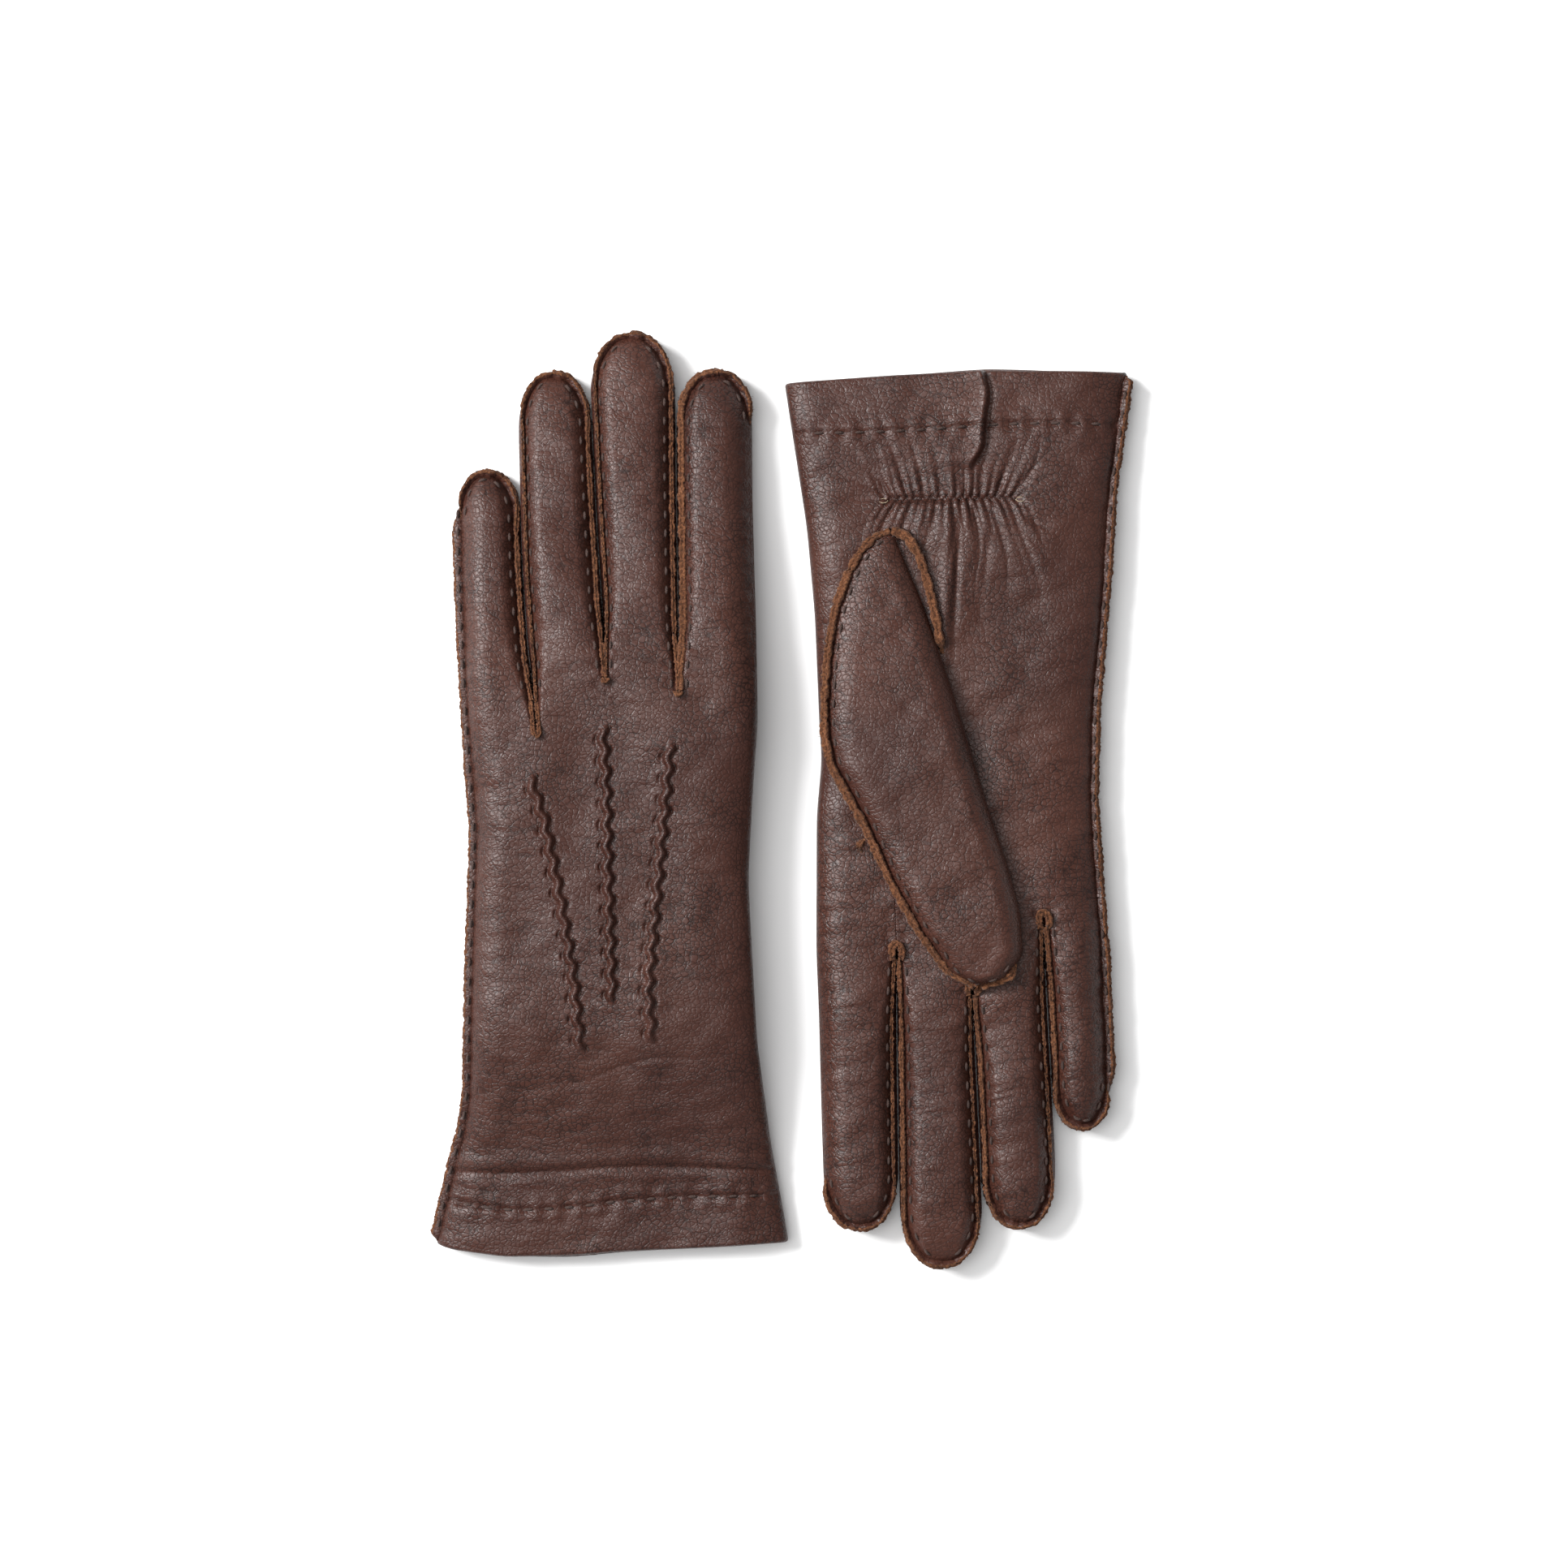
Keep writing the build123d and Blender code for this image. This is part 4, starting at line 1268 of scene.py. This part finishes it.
class NodeMaterial:
    """A small helper that adds and links shader nodes."""

    def __init__(self, name):
        self.material = bpy.data.materials.new(name)
        self.material.use_nodes = True
        self.nodes = self.material.node_tree.nodes
        self.links = self.material.node_tree.links
        self.shader = self.nodes["Principled BSDF"]
        self.place = self.nodes.new("ShaderNodeTexCoord").outputs["Object"]

    def link(self, source, target):
        self.links.new(source, target)

    def noise(self, scale, detail=3.0, roughness=0.55, stretch=None):
        node = self.nodes.new("ShaderNodeTexNoise")
        node.inputs["Scale"].default_value = scale
        node.inputs["Detail"].default_value = detail
        node.inputs["Roughness"].default_value = roughness
        place = self.place if stretch is None else self.stretched(stretch)
        self.link(place, node.inputs["Vector"])
        return node.outputs["Fac"]

    def stretched(self, factors):
        node = self.nodes.new("ShaderNodeMapping")
        node.inputs["Scale"].default_value = factors
        self.link(self.place, node.inputs["Vector"])
        return node.outputs["Vector"]

    def cells(self, scale, feature="DISTANCE_TO_EDGE", stretch=(1, 1, 1)):
        node = self.nodes.new("ShaderNodeTexVoronoi")
        node.feature = feature
        node.inputs["Scale"].default_value = scale
        warp = self.nodes.new("ShaderNodeVectorMath")
        warp.operation = "MULTIPLY_ADD"
        source = self.nodes.new("ShaderNodeTexNoise")
        source.inputs["Scale"].default_value = scale * 0.8
        self.link(self.place, source.inputs["Vector"])
        self.link(source.outputs["Color"], warp.inputs[0])
        warp.inputs[1].default_value = (0.7 / scale,) * 3
        self.link(self.stretched(stretch), warp.inputs[2])
        self.link(warp.outputs["Vector"], node.inputs["Vector"])
        return node.outputs["Distance"]

    def ramp(self, source, stops):
        node = self.nodes.new("ShaderNodeValToRGB")
        elements = node.color_ramp.elements
        elements[0].position, elements[0].color = stops[0]
        elements[1].position, elements[1].color = stops[-1]
        for position, colour in stops[1:-1]:
            element = elements.new(position)
            element.color = colour
        self.link(source, node.inputs["Fac"])
        return node.outputs["Color"]

    def math(self, operation, first, second):
        node = self.nodes.new("ShaderNodeMath")
        node.operation = operation
        for socket, value in zip(node.inputs, (first, second)):
            if isinstance(value, (int, float)):
                socket.default_value = value
            else:
                self.link(value, socket)
        return node.outputs["Value"]

    def mix(self, share, first, second, mode="MIX"):
        node = self.nodes.new("ShaderNodeMix")
        node.data_type = "RGBA"
        node.blend_type = mode
        for socket_name, value in (("Factor", share), ("A", first), ("B", second)):
            socket = node.inputs[socket_name]
            if isinstance(value, (int, float, tuple)):
                socket.default_value = value
            else:
                self.link(value, socket)
        return node.outputs[2]

    def bump(self, height, distance, strength=1.0, previous=None):
        node = self.nodes.new("ShaderNodeBump")
        node.inputs["Strength"].default_value = strength
        node.inputs["Distance"].default_value = distance
        self.link(height, node.inputs["Height"])
        if previous is not None:
            self.link(previous, node.inputs["Normal"])
        return node.outputs["Normal"]


def make_leather(name, dark, middle, light):
    """Satin glove leather: pebbled grain, fine creases darkened with painted shade in patches, slow
    changes of colour.
    """
    m = NodeMaterial(name)
    slow = m.noise(22, 4, 0.6)
    base = m.ramp(slow, [(0.36, linear(*dark)), (0.52, linear(*middle)), (0.70, linear(*light))])
    cells = m.cells(700, stretch=(1.0, 1.2, 1.0))
    grain = m.ramp(cells, [(0.0, grey(0)), (0.16, grey(0.75)), (0.5, WHITE)])
    cracks = m.ramp(cells, [(0.0, grey(0.30, 0.26, 0.24)), (0.13, WHITE), (1.0, WHITE)])
    patches = m.noise(60, 3, 0.6)
    share = m.ramp(patches, [(0.40, grey(0.35)), (0.60, WHITE)])
    colour = m.mix(share, base, m.mix(1.0, base, cracks, "MULTIPLY"))
    # Fine creases: painted shade darkens the colour along them, and the same pattern dents the surface
    wrinkle_cells = m.cells(330, stretch=(0.75, 1.5, 1.0))
    crease_shade_colour = grey(0.45, 0.42, 0.40)
    wrinkles = m.ramp(wrinkle_cells, [(0.0, crease_shade_colour), (0.07, WHITE), (1.0, WHITE)])
    # Patches where the painted shade in the creases shows
    crease_shade_patches = m.ramp(m.noise(35, 3, 0.6), [(0.45, grey(0.1)), (0.58, WHITE)])
    colour = m.mix(crease_shade_patches, colour, m.mix(1.0, colour, wrinkles, "MULTIPLY"))
    m.link(colour, m.shader.inputs["Base Color"])
    fine = m.noise(2600, 2, 0.5)
    folds = m.noise(260, 4, 0.65, stretch=(0.55, 1.5, 1.0))
    first = m.bump(grain, 0.00012, 0.7)
    second = m.bump(folds, 0.0003, 0.4, m.bump(wrinkles, 0.00012, 0.6, first))
    third = m.bump(fine, 0.000015, 0.5, second)
    m.link(third, m.shader.inputs["Normal"])
    rough = m.ramp(m.noise(140, 3, 0.6), [(0.3, grey(0.38)), (0.7, grey(0.48))])
    m.link(rough, m.shader.inputs["Roughness"])
    m.shader.inputs["Specular IOR Level"].default_value = 0.32
    return m.material


def make_suede(name):
    """The raw cut edge: napped fibres from ginger to dark brown."""
    m = NodeMaterial(name)
    naps = m.noise(1500, 4, 0.7, stretch=(1, 1, 2.2))
    dark, middle, light = linear(42, 24, 15), linear(90, 54, 33), linear(132, 89, 60)
    colour = m.ramp(naps, [(0.32, dark), (0.5, middle), (0.70, light)])
    slow = m.noise(70, 3, 0.5)
    shade = m.ramp(slow, [(0.35, grey(0.72, 0.70, 0.68)), (0.65, WHITE)])
    m.link(m.mix(1.0, colour, shade, "MULTIPLY"), m.shader.inputs["Base Color"])
    m.link(m.bump(naps, 0.0002, 1.0), m.shader.inputs["Normal"])
    m.shader.inputs["Roughness"].default_value = 0.95
    m.shader.inputs["Specular IOR Level"].default_value = 0.15
    m.shader.inputs["Sheen Weight"].default_value = 0.08
    m.shader.inputs["Sheen Roughness"].default_value = 0.6
    return m.material


def make_cloth(name, dark, light, pitch, sheen=0.2, roughness=0.8):
    """Thread, knit or tape: twisted or ribbed at one pitch."""
    m = NodeMaterial(name)
    wave = m.nodes.new("ShaderNodeTexWave")
    wave.wave_type = "BANDS"
    wave.bands_direction = "DIAGONAL"
    wave.inputs["Scale"].default_value = pitch
    wave.inputs["Distortion"].default_value = 1.5
    m.link(m.place, wave.inputs["Vector"])
    spread = m.noise(900, 3, 0.6)
    mixed = m.math("MULTIPLY", wave.outputs["Fac"], spread)
    colour = m.ramp(mixed, [(0.08, linear(*dark)), (0.55, linear(*light))])
    m.link(colour, m.shader.inputs["Base Color"])
    m.link(m.bump(wave.outputs["Fac"], 0.00012, 0.8), m.shader.inputs["Normal"])
    m.shader.inputs["Roughness"].default_value = roughness
    m.shader.inputs["Sheen Weight"].default_value = sheen
    return m.material


# ---------------------------------------------------------------- stage
VIEW_WIDTH = 415.4 * MM
VIEW_CENTRE = (0.3 * MM, 4.1 * MM)
LENS, SENSOR = 100.0, 36.0


def make_stage():
    """A white table, soft light from the upper left, and a camera straight above."""
    mesh = bpy.data.meshes.new("table")
    half = 3.0
    corners = [(-half, -half, 0), (half, -half, 0), (half, half, 0), (-half, half, 0)]
    mesh.from_pydata([(x, y, cad_low.z - 0.0003) for x, y, _ in corners], [], [(0, 1, 2, 3)])
    table = bpy.data.objects.new("table", mesh)
    paper = bpy.data.materials.new("white_table")
    paper.use_nodes = True
    shader = paper.node_tree.nodes["Principled BSDF"]
    shader.inputs["Base Color"].default_value = (0.93, 0.93, 0.93, 1)
    shader.inputs["Roughness"].default_value = 0.9
    shader.inputs["Specular IOR Level"].default_value = 0.1
    mesh.materials.append(paper)
    bpy.context.scene.collection.objects.link(table)
    lights = [
        ("key_light", (-1.12, 0.5, 1.08), 0.55, 44.0),
        ("fill_light", (-0.5, 0.1, 1.7), 1.3, 18.0),
    ]
    for name, place, size, power in lights:
        data = bpy.data.lights.new(name, "AREA")
        data.size = size
        data.energy = power
        lamp = bpy.data.objects.new(name, data)
        lamp.location = place
        lamp.rotation_euler = Vector(place).to_track_quat("Z", "Y").to_euler()
        bpy.context.scene.collection.objects.link(lamp)
    world = bpy.data.worlds.new("studio")
    world.use_nodes = True
    world.node_tree.nodes["Background"].inputs["Color"].default_value = (1, 1, 1, 1)
    world.node_tree.nodes["Background"].inputs["Strength"].default_value = 0.36
    bpy.context.scene.world = world
    data = bpy.data.cameras.new("camera")
    data.lens, data.sensor_width = LENS, SENSOR
    camera = bpy.data.objects.new("camera", data)
    middle = (cad_low.z + cad_high.z) / 2
    camera.location = (*VIEW_CENTRE, middle + VIEW_WIDTH * LENS / SENSOR)
    bpy.context.scene.collection.objects.link(camera)
    bpy.context.scene.camera = camera
    bpy.context.scene.view_settings.view_transform = "Standard"


# ---------------------------------------------------------------- build
leather = make_leather("glove_leather", (57, 30, 23), (63, 35, 27), (70, 40, 31))
suede = make_suede("suede_edge")
thread_material = make_cloth("sewing_thread", (34, 21, 17), (80, 57, 49), 1400, sheen=0.03)
lining_material = make_cloth("lining_knit", (62, 45, 38), (98, 74, 62), 700)
elastic_material = make_cloth("elastic_tape", (120, 105, 85), (170, 150, 122), 900)

make_stage()
for glove in [Glove(name) for name in PLANS]:
    make_hand_sheet(glove, True, leather)
    make_hand_sheet(glove, False, leather)
    for number in range(4):
        make_finger_skin(glove, number, leather)
        make_finger_seams(glove, number, [leather, suede], thread_material)
    make_crotch_seams(glove, [leather, suede])
    make_side_seam(glove, [leather, suede], thread_material)
    make_hem_stitches(glove, thread_material)
    make_point_stitches(glove, thread_material)
    make_hand_lining(glove, lining_material)
    for number in range(4):
        make_finger_lining(glove, number, lining_material)
    make_elastic(glove, elastic_material)
    make_shirring(glove, thread_material, elastic_material)
    make_thumb(glove, leather, [leather, suede], thread_material, lining_material)
    make_arch_edge(glove, [leather, suede])
